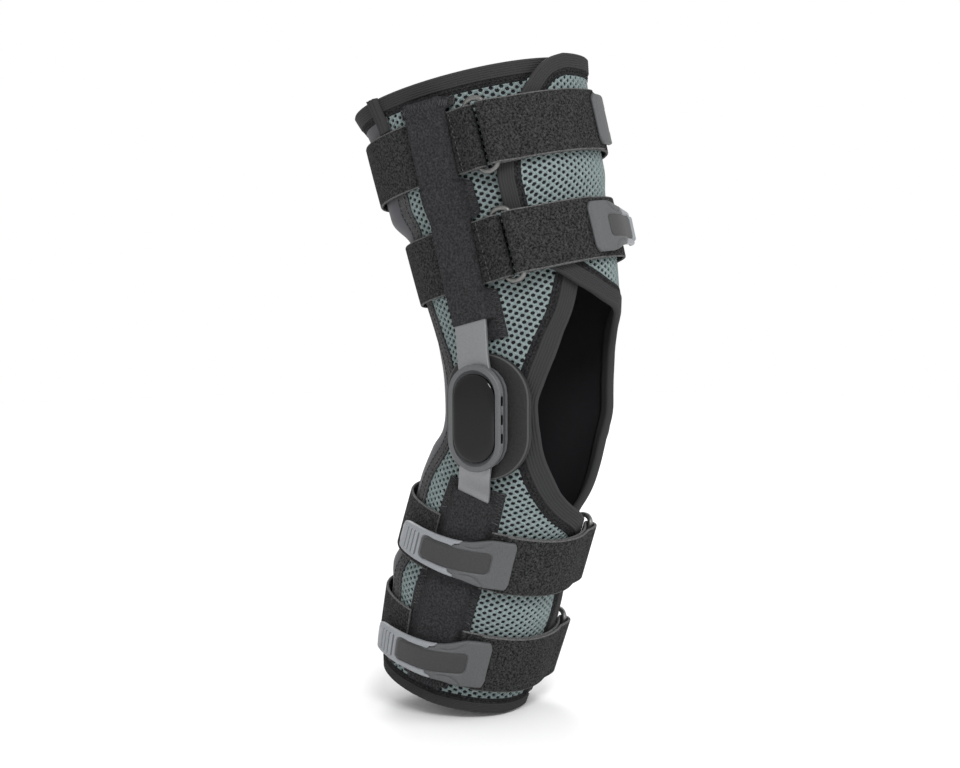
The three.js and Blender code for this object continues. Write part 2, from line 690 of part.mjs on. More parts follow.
// Straps are ribbons along a path of [angle, lift] pairs, where the angle starts at the ring
function ribbon(strap, path) {
  const across = [-1, 1];
  const rim = [...across.map((v) => [v, 0.5]), ...[...across].reverse().map((v) => [v, -0.5])];
  const degree = degreeLength(strap.along, strap.turn * strap.ring);
  const outlines = path.map(([angle, lift], k) => {
    const before = path[Math.max(k - 1, 0)];
    const after = path[Math.min(k + 1, path.length - 1)];
    const way = new THREE.Vector2((after[0] - before[0]) * degree, after[1] - before[1]).normalize();
    return rim.map(([v, side]) => {
      const along = strap.along + (v * STRAP_WIDTH) / 2;
      const shift = side * STRAP_THICK;
      return onLimb(along, strap.turn * (angle - (way.y * shift) / degree), lift + way.x * shift);
    });
  });
  return loft(outlines, strip(across.length));
}

// A fold around one side of the ring, from under it to over it; way is -1 or 1
const FOLD_RADIUS = WIRE + 4 * GAP + STRAP_THICK / 2;
function fold(middle, lift, degree, way) {
  return steps(6).map((share) => {
    const turn = Math.PI * (share - 0.5);
    return [middle + (way * FOLD_RADIUS * Math.cos(turn)) / degree, lift + FOLD_RADIUS * Math.sin(turn)];
  });
}
const STRAP_MIDDLE = STRAP_LIFT + STRAP_THICK / 2;
const RING_LOW = STRAP_MIDDLE + FOLD_RADIUS;
const RING_HIGH = RING_LOW + LAP;
const LAYER = STRAP_THICK + GAP;
const STRAP_STEP = 13;

// The strap's lift where it lies on the sleeve, over the lap as well
function restLift(strap, angle) {
  const around = strap.turn > 0 ? angle : FULL_TURN - angle;
  const laps = [-1, 0, 1].map((v) => lapLift(strap.along + (v * STRAP_WIDTH) / 2, around));
  return STRAP_MIDDLE + Math.max(...laps);
}

// The angle of the far pocket, where the ring strap ends and the pull strap starts
const farPocket = (strap) => FULL_TURN - armAngle(strap.along);
function ringStrap(strap) {
  const degree = degreeLength(strap.along, strap.turn * strap.ring);
  const at = (reach) => strap.ring + reach / degree;
  const start = at(STRAP_SETTLE);
  const end = farPocket(strap) - STRAP_ON_FLANGE / degree;
  const count = Math.round(((end - start) * degree) / STRAP_STEP);
  return ribbon(strap, [
    [at(STRAP_TAIL - 1), STRAP_MIDDLE],
    ...fold(at(RING_HALF), RING_LOW, degree, -1),
    [at(STRAP_TAIL), STRAP_MIDDLE + LAYER],
    ...steps(count).map((share) => [lerp(start, end, share), STRAP_MIDDLE]),
  ]);
}
function pullStrap(strap) {
  const degree = degreeLength(strap.along, strap.turn * strap.ring);
  const at = (reach) => strap.ring + FULL_TURN + reach / degree;
  const turned = at(-RING_HALF);
  const start = farPocket(strap) + STRAP_ON_FLANGE / degree;
  const count = Math.round(((turned - start) * degree) / STRAP_STEP);
  const under = steps(count).map((share) => lerp(start, turned, share)).slice(0, -1);
  const settled = at(-STRAP_SETTLE);
  const back = Math.round(((settled - strap.end) * degree) / STRAP_STEP);
  return ribbon(strap, [
    ...under.map((angle) => [angle, restLift(strap, angle)]),
    ...fold(turned, RING_HIGH, degree, 1),
    ...steps(back).map((share) => {
      const angle = lerp(settled, strap.end, share);
      return [angle, restLift(strap, angle) + LAYER];
    }),
  ]);
}

// The ring is a closed wire with round ends; its two long sides lie under the straps' folds
function wireRing(strap) {
  const degree = degreeLength(strap.along, strap.turn * strap.ring);
  const long = RING_LENGTH / 2 - RING_HALF;
  const centres = [];
  for (const end of [1, -1]) {
    for (const share of steps(6)) {
      const turn = Math.PI * share;
      centres.push([end * RING_HALF * Math.cos(turn), end * (long + RING_HALF * Math.sin(turn))]);
    }
  }
  const points = centres.map(([reach, up]) => {
    const lift = lerp(RING_HIGH, RING_LOW, (reach + RING_HALF) / (2 * RING_HALF));
    return onLimb(strap.along + up, strap.turn * (strap.ring + reach / degree), lift);
  });
  const outlines = points.map((point, k) => {
    const way = points[(k + 1) % points.length].clone().sub(points.at(k - 1)).normalize();
    const aside = new THREE.Vector3().crossVectors(way, inSection(strap.along, 0, 0).sub(point)).normalize();
    const out = new THREE.Vector3().crossVectors(aside, way);
    return steps(5).slice(1).map((share) => {
      const turn = 2 * Math.PI * share;
      const reach = aside.clone().multiplyScalar(WIRE * Math.cos(turn));
      return point.clone().add(reach).addScaledVector(out, WIRE * Math.sin(turn));
    });
  });
  return loft(outlines);
}

// Tabs: half-widths along the tab, the depth of its light grip and the ridges on it
const TAB_HALF = [
  { along: 0, half: 16 },
  { along: 14, half: 16 },
  { along: 30, half: 12.6 },
  { along: 46, half: 11.4 },
  { along: 70, half: 10 },
  { along: 76, half: 8.4 },
  { along: 78, half: 5.5 },
];
const GRIP_FROM = 33;
const PLATE_HALF = 7.6;
const PLATE_TO = 57;
const GRIP_BASE = 1;
const RIDGE = 0.7;
const RIDGES = [61, 64, 67, 70];
const RIDGE_HALF = 1.5;

// A point of a tab: its way along the tab, aside from its middle and above its inner face
const TAB_LIFT = 10;
function onTab(strap, way, aside, height) {
  const degree = degreeLength(strap.along, strap.turn * strap.end, TAB_LIFT);
  const start = strap.end + TAB_OVERLAP / degree;
  const seat = restLift(strap, start) + LAYER + STRAP_THICK / 2 + GAP;
  const rows = [
    { along: 0, lift: seat, slant: 0 },
    { along: TAB_OVERLAP + 2, lift: seat, slant: 0 },
    { along: TAB_LENGTH / 2, lift: seat + strap.rise, slant: strap.slant / 2 },
    { along: TAB_LENGTH, lift: seat + strap.tip, slant: strap.slant },
  ];
  const along = strap.along + aside + read(rows, "slant", way);
  return onLimb(along, strap.turn * (start - way / degree), read(rows, "lift", way) + height);
}
function tabBody(strap) {
  const rim = [[-1, 0], [1, 0], [1, 0.6], [0.75, 1], [-0.75, 1], [-1, 0.6]];
  const flat = rim.map(([x, y]) => new THREE.Vector2(x, y));
  const section = (way, half, low) => flat.map(({ x, y }) => {
    return onTab(strap, way, x * half, lerp(low, TAB_THICK, y));
  });
  const wide = [0, 7, 14, 20, 26, GRIP_FROM - GAP].map((way) => section(way, read(TAB_HALF, "half", way), 0));
  const low = GRIP_BASE + GAP;
  const narrow = [GRIP_FROM, 42, 50, PLATE_TO - 2].map((way) => section(way, PLATE_HALF, low));
  return loft([...wide, ...narrow, section(PLATE_TO, PLATE_HALF - 3, low)], filled(flat));
}
function tabGrip(strap) {
  const gutter = PLATE_HALF + GAP;
  const flat = [[-2, 0], [2, 0], [2, 3], [1, 3], [1, 1], [-1, 1], [-1, 3], [-2, 3]];
  const section = (way, floor) => flat.map(([x, y]) => {
    const half = read(TAB_HALF, "half", way);
    const aside = Math.abs(x) === 2 ? half : Math.min(gutter, half - 1.4);
    const height = y === 0 ? 0 : y === 1 ? floor : TAB_THICK;
    return onTab(strap, way, Math.sign(x) * aside, height);
  });
  const channel = [GRIP_FROM + GAP, 41, 49, PLATE_TO + GAP].map((way) => section(way, GRIP_BASE));
  const ridges = RIDGES.flatMap((way) => [
    section(way - RIDGE_HALF, TAB_THICK),
    section(way, TAB_THICK + RIDGE),
  ]);
  const tip = [73, 76, TAB_LENGTH].map((way) => section(way, TAB_THICK));
  const rim = flat.map(([x, y]) => new THREE.Vector2(x, y));
  return loft([...channel, section(PLATE_TO + 2 * GAP, TAB_THICK), ...ridges, ...tip], filled(rim));
}

// Materials
function material(color, roughness, metalness) {
  return new THREE.MeshStandardMaterial({ color, roughness, metalness });
}
const finishes = {
  mesh: material(0x7d918f, 0.85, 0),
  stretch: material(0x4b4a50, 0.7, 0),
  tape: material(0x2d2d2d, 0.8, 0),
  pile: material(0x3c3c3e, 0.95, 0),
  arm: material(0x6e7073, 0.5, 0.4),
  housing: material(0x5f6266, 0.55, 0),
  cap: material(0x1c1c1e, 0.12, 0),
  pad: material(0x3c3c3c, 0.6, 0),
  ring: material(0x969694, 0.35, 0.9),
  tab: material(0x555654, 0.55, 0),
  grip: material(0xa0a3a7, 0.5, 0),
};

const brace = new THREE.Group();
brace.name = "knee_ligament_brace";
function add(name, geometry, finish) {
  const mesh = new THREE.Mesh(geometry, finish.clone());
  mesh.name = name;
  brace.add(mesh);
}

add("lateral_panel", panel(lateralColumns), finishes.mesh);
add("medial_panel", panel(medialColumns), finishes.mesh);
add("back_panel", panel(backColumns), finishes.stretch);
add("lateral_seam_tape", seamTape(lateralSeamPath), finishes.tape);
add("medial_seam_tape", seamTape(medialSeamPath), finishes.tape);
Object.entries(bindings).forEach(([name, geometry]) => add(name, geometry, finishes.tape));
add("seam_fold", seamFold, finishes.tape);

// The thigh straps pass under the lateral pocket and the calf straps under the medial one
const level = (part) => STRAPS.filter((strap) => strap.name.startsWith(part));
for (const hand of [-1, 1]) {
  const side = sideName(hand);
  const thigh = { ...THIGH_POCKET, straps: hand < 0 ? level("thigh") : [] };
  const calf = { ...CALF_POCKET, straps: hand > 0 ? level("calf") : [] };
  add(`${side}_upper_arm`, arm(hand, thigh), finishes.arm);
  add(`${side}_lower_arm`, arm(hand, calf), finishes.arm);
  add(`${side}_hinge_plate`, hingePlate(hand), finishes.housing);
  add(`${side}_hinge_cover`, hingeCover(hand), finishes.housing);
  add(`${side}_hinge_cap`, hingeCap(hand), finishes.cap);
  add(`${side}_condyle_pad`, condylePad(hand), finishes.pad);
  add(`${side}_thigh_pocket`, armPocket(hand, thigh), finishes.pile);
  add(`${side}_calf_pocket`, armPocket(hand, calf), finishes.pile);
}
for (const strap of STRAPS) {
  add(`${strap.name}_ring_strap`, ringStrap(strap), finishes.pile);
  add(`${strap.name}_pull_strap`, pullStrap(strap), finishes.pile);
  add(`${strap.name}_ring`, wireRing(strap), finishes.ring);
  add(`${strap.name}_tab_body`, tabBody(strap), finishes.tab);
  add(`${strap.name}_tab_grip`, tabGrip(strap), finishes.grip);
}

export default brace;
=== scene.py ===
# %% [markdown]
# # A hinged knee brace in cloth, metal and plastic
# The brace is a sleeve of spacer mesh with bound edges, two hinges and four straps. The packed
# solids give its sizes. Here each soft piece is made again on the same surfaces with more points,
# and gets its ribs, stitches and yarn. Lengths are in millimetres until a mesh is made.

# %% Load the frame
import math
from functools import partial

import bmesh
import bpy
import numpy as np
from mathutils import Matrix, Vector


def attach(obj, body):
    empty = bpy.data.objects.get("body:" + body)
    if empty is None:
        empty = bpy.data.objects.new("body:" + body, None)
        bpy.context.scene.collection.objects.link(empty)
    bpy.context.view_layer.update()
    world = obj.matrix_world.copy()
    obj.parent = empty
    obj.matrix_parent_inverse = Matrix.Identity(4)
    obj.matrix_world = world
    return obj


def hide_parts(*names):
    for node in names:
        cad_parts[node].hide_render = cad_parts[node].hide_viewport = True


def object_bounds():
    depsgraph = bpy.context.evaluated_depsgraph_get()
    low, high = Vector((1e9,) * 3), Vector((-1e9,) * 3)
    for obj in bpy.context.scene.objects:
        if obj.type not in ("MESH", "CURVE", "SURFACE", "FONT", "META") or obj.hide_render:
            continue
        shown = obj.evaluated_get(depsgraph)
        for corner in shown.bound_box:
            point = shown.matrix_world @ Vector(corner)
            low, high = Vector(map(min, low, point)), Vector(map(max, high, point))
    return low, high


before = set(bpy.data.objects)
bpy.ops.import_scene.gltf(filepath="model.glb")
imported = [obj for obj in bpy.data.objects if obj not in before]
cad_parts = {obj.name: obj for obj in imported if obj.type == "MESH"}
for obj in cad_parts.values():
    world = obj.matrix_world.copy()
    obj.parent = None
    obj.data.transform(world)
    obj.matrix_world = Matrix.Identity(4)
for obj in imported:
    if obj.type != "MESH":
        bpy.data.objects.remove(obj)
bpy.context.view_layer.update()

# %% [markdown]
# ## The limb that shapes the sleeve
# A worn sleeve has the form of the limb in it. We could sculpt that form, but a table of cross
# sections is easier to correct: each row gives a section's half-sizes, and a smooth curve runs
# through the rows. Angles go round the limb from the front, rising towards the lateral side.

# %% Sizes and tables
TOP, FLAP_TOP, FLAP_CORNER, BOTTOM = 208, 209, 201, -198
WALL, GAP, TAPE, SLIT = 2.4, 0.3, 0.7, 0.75
BINDING_WIDTH, EDGE_INSET = 11, 2
PAST_BINDING = BINDING_WIDTH + 1
LAP = WALL + 2 * (TAPE + SLIT) + 3 * GAP
THIGH_RAMP, CALF_RAMP = (67, 17), (66, 6)
THIGH_LEAN, CALF_LEAN, BEND_HALF = 15.2, 14, 40
# Set moves a section back
LIMB_COLUMNS = ("along", "lateral", "medial", "front", "back", "set")
LIMB = (
    (-198, 42, 42, 33.5, 54, 10),
    (-180, 45, 45, 35.5, 58, 10),
    (-160, 46.8, 46.8, 37, 59.3, 10),
    (-140, 48, 48, 39, 60.5, 10),
    (-125, 49, 49, 40.3, 63.5, 10),
    (-110, 48, 48, 39.5, 59, 9.5),
    (-89, 47.5, 47.5, 39, 58, 9),
    (-64, 48.5, 48.5, 42.5, 57.5, 8),
    (-42, 49.5, 49.5, 48.5, 55, 6),
    (-20, 50.5, 50.5, 52.5, 51.5, 3),
    (0, 51, 51, 58, 53.5, 0),
    (39, 51, 51, 62.5, 51.5, 0),
    (60, 52.5, 53.5, 66, 50, 0),
    (80, 55, 57, 67, 50.5, 0),
    (119, 57.5, 60, 67, 51.5, 0),
    (137, 61.5, 63, 70, 62.5, 0),
    (187, 65.5, 66.5, 70.5, 63, 0),
    (208, 68, 69.5, 73.5, 70, 0),
)
# Rows of (along, around)
LATERAL_EDGE = (
    (-198, -17), (-195, -20.5), (-190, -22.5), (-180, -23.5), (-82, -24), (-70, -22), (-62, -14),
    (-54, 1), (-47, 15), (-35, 32.5), (-22, 46.5), (-10, 54.5), (-2, 58), (6, 59), (18, 54),
    (33, 44), (48, 34), (66, 25.5), (90, 15), (120, 8), (160, 4), (208, 2),
)
MEDIAL_EDGE = (
    (-198, 364), (-80, 364), (-66, 356), (-54, 340), (-35, 322), (-10, 311), (8, 308), (25, 312),
    (36, 321), (43, 338), (48, 356), (53, 371), (60, 380.5), (66, 388), (77, 399), (84, 407.5),
    (93, 414), (104, 416.5), (134, 416.5), (149, 414.5), (165, 408), (180, 400), (190, 393.5),
    (201, 385), (206.5, 377), (209, 368),
)
SEAM = (
    (-198, 129), (-123, 132), (-60, 132), (-35, 126), (0, 123), (40, 124), (60, 129), (85, 130),
    (135, 114), (208, 111),
)
print("the limb has", len(LIMB), "sections from", LIMB[0][0], "to", LIMB[-1][0], "mm")

# %% Curves through the tables
# A curve meets every row and doesn't swing past it between two rows
def table_curve(rows, k=1):
    x, y = (np.array([row[i] for row in rows], float) for i in (0, k))
    steep = np.diff(y) / np.diff(x)
    before, after = np.append(steep[:1], steep), np.append(steep, steep[-1:])
    same = before * after > 0
    slope = np.where(same, 2 * before * after / np.where(same, before + after, 1), 0)

    def value(along):
        i = np.searchsorted(x[1:-1], along)
        span = x[i + 1] - x[i]
        t = np.clip((along - x[i]) / span, 0, 1)
        low = (1 + 2 * t) * (1 - t) ** 2 * y[i] + t * (1 - t) ** 2 * span * slope[i]
        return low + (3 - 2 * t) * t**2 * y[i + 1] - (1 - t) * t**2 * span * slope[i + 1]

    return value


limb = {name: table_curve(LIMB, k) for k, name in enumerate(LIMB_COLUMNS) if k}
lateral_edge, medial_edge, seam = map(table_curve, (LATERAL_EDGE, MEDIAL_EDGE, SEAM))
print("limb girth at the top about", round(math.pi * (limb["lateral"](TOP) + limb["front"](TOP))), "mm")

# %% Small helpers
def smooth(x, low, high):
    t = np.clip((x - low) / (high - low), 0, 1)
    return t * t * (3 - 2 * t)


def pairs(first, second):
    return np.stack(np.broadcast_arrays(first, second), -1)


def unit(ways):
    return ways / np.linalg.norm(ways, axis=-1, keepdims=True)


def distances(spots):
    return np.append(0, np.cumsum(np.linalg.norm(np.diff(spots, axis=0), axis=1)))


def softened(rows, rounds):
    for _ in range(rounds):
        rows[1:-1] = (rows[:-2] + 2 * rows[1:-1] + rows[2:]) / 4
    return rows


print("a smooth step from 0 to 1 is", smooth(0.25, 0, 1), "at a quarter")

# %% Points on the limb
MIDDLE_LEAN = math.radians((THIGH_LEAN - CALF_LEAN) / 2)
LEAN_RATE = math.radians((THIGH_LEAN + CALF_LEAN) / 2) / BEND_HALF


def in_section(along, sideways, backwards):
    inside = np.clip(along, -BEND_HALF, BEND_HALF)
    lean = MIDDLE_LEAN + LEAN_RATE * inside
    y = (math.cos(MIDDLE_LEAN) - np.cos(lean)) / LEAN_RATE + (along - inside) * np.sin(lean)
    z = (np.sin(lean) - math.sin(MIDDLE_LEAN)) / LEAN_RATE + (along - inside) * np.cos(lean)
    spot = (sideways, y + backwards * np.cos(lean), z - backwards * np.sin(lean))
    return np.stack(np.broadcast_arrays(*spot), -1)


def section(along, around):
    sine, cosine = np.sin(np.radians(around)), np.cos(np.radians(around))
    side = np.where(sine > 0, limb["lateral"](along), limb["medial"](along))
    deep = np.where(cosine > 0, limb["front"](along), limb["back"](along))
    out = unit(pairs(-sine / side, -cosine / deep))
    return -side * sine, limb["set"](along) - deep * cosine, out[..., 0], out[..., 1]


def on_limb(along, around, lift):
    x, y, out_x, out_y = section(along, around)
    return in_section(along, x + out_x * lift, y + out_y * lift)


def on_bar(along, sections, aside, lift):
    x, y, out_x, out_y = (part[:, None] for part in sections)
    return in_section(along[:, None], x + out_x * lift - out_y * aside, y + out_y * lift + out_x * aside)


print("a point of the knee", on_limb(0.0, 45.0, 0.0).round(1).tolist())

# %% Points on the sleeve
def lap_lift(along, around):
    thigh = lateral_edge(along) + 360
    calf = medial_edge(along) - 360
    over = smooth(around, thigh - THIGH_RAMP[0], thigh - THIGH_RAMP[1])
    under = 1 - smooth(around, calf + CALF_RAMP[1], calf + CALF_RAMP[0])
    return LAP * np.where(np.asarray(along) > 0, over, under)


def on_sleeve(along, around, lift):
    return on_limb(along, around, lift + lap_lift(along, around))


def degree_length(along, around, lift=WALL):
    ends = on_limb(along, around - 1, lift) - on_limb(along, around + 1, lift)
    return np.linalg.norm(ends, axis=-1) / 2


print("a degree at the hinge is", round(float(degree_length(0.0, 90.0)), 3), "mm")

# %% [markdown]
# ## From rows of points to a mesh
# Nearly every piece is a row of outlines joined by faces, as a lofted body is. One helper makes
# the mesh, turns it outwards and lays a UV map over it in metres, so that a weave or a rib can
# follow the cloth. Another helper ties the piece to the frame, in place of the solid that has its
# name.

# %% Loft helper
def turned_out(rings, closed):
    shifted = rings - rings.mean((0, 1))
    after = np.roll(shifted, -1, 0) if closed else shifted[1:]
    here = shifted if closed else shifted[:-1]
    a, b, c, d = here, np.roll(here, -1, 1), np.roll(after, -1, 1), after
    size = (a * np.cross(b, c)).sum() + (a * np.cross(c, d)).sum()
    return rings if size > 0 else rings[:, ::-1]


def loft(name, rings, closed=False, caps="face"):
    rings = turned_out(np.asarray(rings, float), closed)
    n, m, _ = rings.shape
    spot = np.arange(n * m).reshape(n, m)
    spot = np.concatenate([spot, spot[:, :1]], 1)
    if closed:
        spot = np.concatenate([spot, spot[:1]], 0)
    quads = np.stack([spot[:-1, :-1], spot[:-1, 1:], spot[1:, 1:], spot[1:, :-1]], -1).reshape(-1, 4)
    faces = quads.tolist()
    if not closed and caps == "face":
        faces += [list(range(m))[::-1], list(range((n - 1) * m, n * m))]
    if not closed and caps == "strip":
        for k in range(m // 2 - 1):
            low = [k + 1, k, m - 1 - k, m - 2 - k]
            faces += [low, [(n - 1) * m + i for i in low[::-1]]]
    mesh = bpy.data.meshes.new(name)
    mesh.from_pydata((rings.reshape(-1, 3) / 1000).tolist(), [], faces)
    around = np.linalg.norm(np.diff(np.concatenate([rings, rings[:, :1]], 1), axis=1), axis=-1)
    u = np.append(0, np.cumsum(around[n // 2])) / 1000
    v = np.append(0, np.cumsum(np.linalg.norm(np.diff(rings, axis=0), axis=-1).mean(1))) / 1000
    v = np.append(v, v[-1] + v[1]) if closed else v
    grid = np.stack(np.meshgrid(u, v), -1)
    corner = np.stack([grid[:-1, :-1], grid[:-1, 1:], grid[1:, 1:], grid[1:, :-1]], 2)
    layer = mesh.uv_layers.new(name="cloth")
    flat = np.zeros((len(mesh.loops), 2))
    flat[: quads.size] = corner.reshape(-1, 2)
    layer.data.foreach_set("uv", flat.ravel())
    mesh.shade_smooth()
    piece = bpy.data.objects.new(name, mesh)
    bpy.context.scene.collection.objects.link(piece)
    return piece


print("loft helper ready")

# %% Helpers for pieces
def fitted(piece, slot, *finishes):
    node_name = piece.name.split(".")[0]
    for material in finishes:
        piece.data.materials.append(material)
    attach(piece, "root")
    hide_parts(node_name)
    piece.name = node_name + "_detail"
    return piece


def kept_order(piece, first_spot):
    return np.allclose(piece.data.vertices[0].co, first_spot / 1000, atol=1e-5)


def second_finish(piece, faces):
    for k in faces:
        piece.data.polygons[k].material_index = 1


def joined(name, *parts):
    with bpy.context.temp_override(active_object=parts[0], selected_editable_objects=list(parts)):
        bpy.ops.object.join()
    parts[0].name = name
    return parts[0]


def applied(piece):
    shown = piece.evaluated_get(bpy.context.evaluated_depsgraph_get())
    piece.data = bpy.data.meshes.new_from_object(shown)
    piece.modifiers.clear()
    return piece


def wall(name, outer, inner):
    return loft(name, np.concatenate([outer, inner[:, ::-1]], 1), caps="strip")


def cloth_area(piece):
    return sum(face.area for face in piece.data.polygons) / 2


print("piece helpers ready")

# %% [markdown]
# ## Finishes that more than one material uses
# Loop pile, knit and moulded plastic differ in scale, not in kind: each is a small noise or wave
# that moves the colour and lifts the surface. A node group holds each effect once, and every
# material gives it its own scale and colours.

# %% Node helpers
def new_tree(name, kind, inputs, outputs):
    tree = bpy.data.node_groups.new(name, kind + "NodeTree")
    for label, value in inputs.items():
        sort = value if isinstance(value, str) else "Color" if isinstance(value, tuple) else "Float"
        socket = tree.interface.new_socket(label, in_out="INPUT", socket_type="NodeSocket" + sort)
        if sort != value:
            socket.default_value = value
    for label, sort in outputs.items():
        tree.interface.new_socket(label, in_out="OUTPUT", socket_type="NodeSocket" + sort)
    return tree, tree.nodes.new("NodeGroupInput").outputs, tree.nodes.new("NodeGroupOutput").inputs


def node(tree, kind, settings=None, **inputs):
    made = tree.nodes.new(kind)
    for name, value in (settings or {}).items():
        setattr(made, name, value)
    for name, value in inputs.items():
        socket = made.inputs[int(name[1:]) if name[0] == "_" else name.replace("_", " ")]
        if isinstance(value, bpy.types.NodeSocket):
            tree.links.new(value, socket)
        else:
            socket.default_value = value
    return made.outputs


def maths(tree, operation, a, b=0.0):
    return node(tree, "ShaderNodeMath", {"operation": operation}, _0=a, _1=b)[0]


print("node helpers ready")

# %% Node groups
DARKEST_GRAIN, LIGHTEST_GRAIN = 0.36, 0.72
speckle, given, result = new_tree(
    "Speckle", "Shader",
    {"Vector": "Vector", "Scale": 1000.0, "Dark": (0, 0, 0, 1), "Light": (1, 1, 1, 1)},
    {"Color": "Color", "Height": "Float"},
)
add = partial(node, speckle)
grain = add("ShaderNodeTexNoise", Vector=given["Vector"], Scale=given["Scale"], Detail=3.0, Roughness=0.65)
spread = add("ShaderNodeMapRange", {"clamp": True}, Value=grain[0], From_Min=DARKEST_GRAIN,
             From_Max=LIGHTEST_GRAIN)
mixed = add("ShaderNodeMix", {"data_type": "RGBA"}, _0=spread[0], _6=given["Dark"], _7=given["Light"])
speckle.links.new(mixed[2], result["Color"])
speckle.links.new(spread[0], result["Height"])

knit, given, result = new_tree(
    "Knit", "Shader", {"Vector": "Vector", "Across": 1000.0, "Along": 1000.0}, {"Height": "Float"},
)
calc = partial(maths, knit)
axes = node(knit, "ShaderNodeSeparateXYZ", Vector=given["Vector"])
waves = []
for axis, rate in ((axes[0], given["Across"]), (axes[1], given["Along"])):
    turn = calc("MULTIPLY", calc("MULTIPLY", axis, rate), 2 * math.pi)
    waves.append(calc("MULTIPLY", calc("SINE", turn), 0.5))
knit.links.new(calc("ADD", calc("MULTIPLY", *waves), 0.5), result["Height"])
print("node groups", speckle.name, knit.name)

# %% [markdown]
# ## Materials
# Each finish on the brace becomes one Principled material. Cloth is rough, moulded plastic is
# satin, the cap is polished, and the wire rings are metal. The colours were judged against a
# picture of the real brace.

# %% Material helpers
def finish(name, color, roughness, metallic=0.0, sheen=0.0, specular=0.5):
    material = bpy.data.materials.new(name)
    material.use_nodes = True
    shader = material.node_tree.nodes["Principled BSDF"].inputs
    shader["Base Color"].default_value = (*color, 1)
    shader["Roughness"].default_value = roughness
    shader["Metallic"].default_value = metallic
    shader["Sheen Weight"].default_value = sheen
    shader["Specular IOR Level"].default_value = specular
    return material, material.node_tree, shader


def effect(tree, shader, group, place, distance, **values):
    where = tree.nodes.new("ShaderNodeTexCoord").outputs[place]
    made = node(tree, "ShaderNodeGroup", {"node_tree": group}, Vector=where, **values)
    bump = node(tree, "ShaderNodeBump", Height=made["Height"], Distance=distance, Strength=1.0)
    tree.links.new(bump[0], shader["Normal"])
    return made


def speckled(name, dark, light, roughness, scale, distance, **more):
    material, tree, shader = finish(name, light, roughness, **more)
    made = effect(tree, shader, speckle, "Object", distance, Scale=scale, Dark=(*dark, 1),
                  Light=(*light, 1))
    tree.links.new(made["Color"], shader["Base Color"])
    return material


def knitted(name, color, roughness, across, along, distance, **more):
    material, tree, shader = finish(name, color, roughness, **more)
    effect(tree, shader, knit, "UV", distance, Across=across, Along=along)
    return material


print("helpers for speckled and knitted finishes ready")

# %% The brace's finishes
# Speckled: dark and light colour, roughness, grains per metre and relief in metres
mesh_yarn = speckled("mesh yarn", (0.14, 0.178, 0.178), (0.275, 0.328, 0.325), 0.9, 900, 0.0002,
                     specular=0.15)
margin_cloth = speckled("margin cloth", (0.008, 0.008, 0.009), (0.042, 0.042, 0.044), 0.95, 900,
                        0.0004, specular=0.08)
tape_cloth = speckled("tape cloth", (0.03, 0.03, 0.032), (0.115, 0.115, 0.118), 0.9, 1100, 0.0003,
                      specular=0.1)
loop_pile = speckled("loop pile", (0.006, 0.006, 0.006), (0.07, 0.07, 0.072), 0.95, 760, 0.0008,
                     specular=0.1)
pocket_pile = speckled("pocket pile", (0.016, 0.016, 0.017), (0.05, 0.05, 0.054), 0.95, 750, 0.0005,
                       specular=0.1)
cut_edge = speckled("strap edge", (0.06, 0.06, 0.06), (0.16, 0.16, 0.16), 0.9, 900, 0.0003, specular=0.1)
arm_coat = speckled("arm coating", (0.185, 0.188, 0.193), (0.23, 0.233, 0.239), 0.32, 1500, 0.00005,
                    metallic=0.5)
housing_plastic = speckled("housing plastic", (0.075, 0.078, 0.082), (0.1, 0.103, 0.107), 0.42, 1400,
                           0.00004, specular=0.4)
pad_foam = speckled("pad foam", (0.013, 0.013, 0.014), (0.02, 0.02, 0.021), 0.5, 900, 0.00008,
                    specular=0.25)
ring_metal = speckled("ring metal", (0.15, 0.15, 0.145), (0.22, 0.22, 0.215), 0.4, 700, 0.00003,
                      metallic=0.85)
tab_plastic = speckled("tab plastic", (0.07, 0.072, 0.074), (0.094, 0.096, 0.099), 0.5, 1300, 0.00006,
                       specular=0.3)
plate_plastic = speckled("plate plastic", (0.03, 0.03, 0.031), (0.042, 0.042, 0.043), 0.5, 1300,
                         0.00006, specular=0.3)
grip_plastic = speckled("grip plastic", (0.21, 0.22, 0.235), (0.26, 0.27, 0.285), 0.42, 1300, 0.00004,
                        specular=0.3)
# Knitted: colour, roughness, loops per metre across and along, and relief in metres
black_knit = knitted("black knit", (0.02, 0.02, 0.022), 0.95, 900, 900, 0.0002, specular=0.05)
stretch_cloth = knitted("stretch cloth", (0.044, 0.044, 0.053), 0.6, 1100, 800, 0.00012, sheen=0.05,
                        specular=0.25)
# Plain: colour and roughness
elastic = finish("ribbed elastic", (0.034, 0.034, 0.035), 0.8, specular=0.12)[0]
thread = finish("thread", (0.006, 0.006, 0.006), 0.8, specular=0.1)[0]
zigzag_thread = finish("zigzag thread", (0.085, 0.085, 0.088), 0.8, specular=0.2)[0]
slot_shade = finish("slot shade", (0.003, 0.003, 0.003), 0.9, specular=0.05)[0]
cap_gloss = finish("cap gloss", (0.003, 0.003, 0.003), 0.09, specular=0.3)[0]
# The pad rim's lighter colour is a painted highlight on the pad's rounded edge
pad_rim_highlight = finish("pad rim", (0.055, 0.055, 0.055), 0.6, specular=0.25)[0]
# The grip crease colour is painted shade in the hollows between the grip's ribs
grip_crease_shade = finish("grip crease", (0.1, 0.105, 0.112), 0.6, specular=0.2)[0]
print(len(bpy.data.materials), "materials")

# %% [markdown]
# ## The panels' outlines
# A panel is cut between a front edge and a rear seam. Points are spread evenly along both, and
# the cloth between them is a grid. At an edge we also need the way into the cloth, because the
# binding and its stitches keep a constant distance from the edge.

# %% Paths over the sleeve
ROWS = 150


def spread_evenly(around, along, count):
    reach = distances(on_limb(along, around, WALL))
    even = np.linspace(0, reach[-1], count + 1)
    return np.interp(even, reach, around), np.interp(even, reach, along)


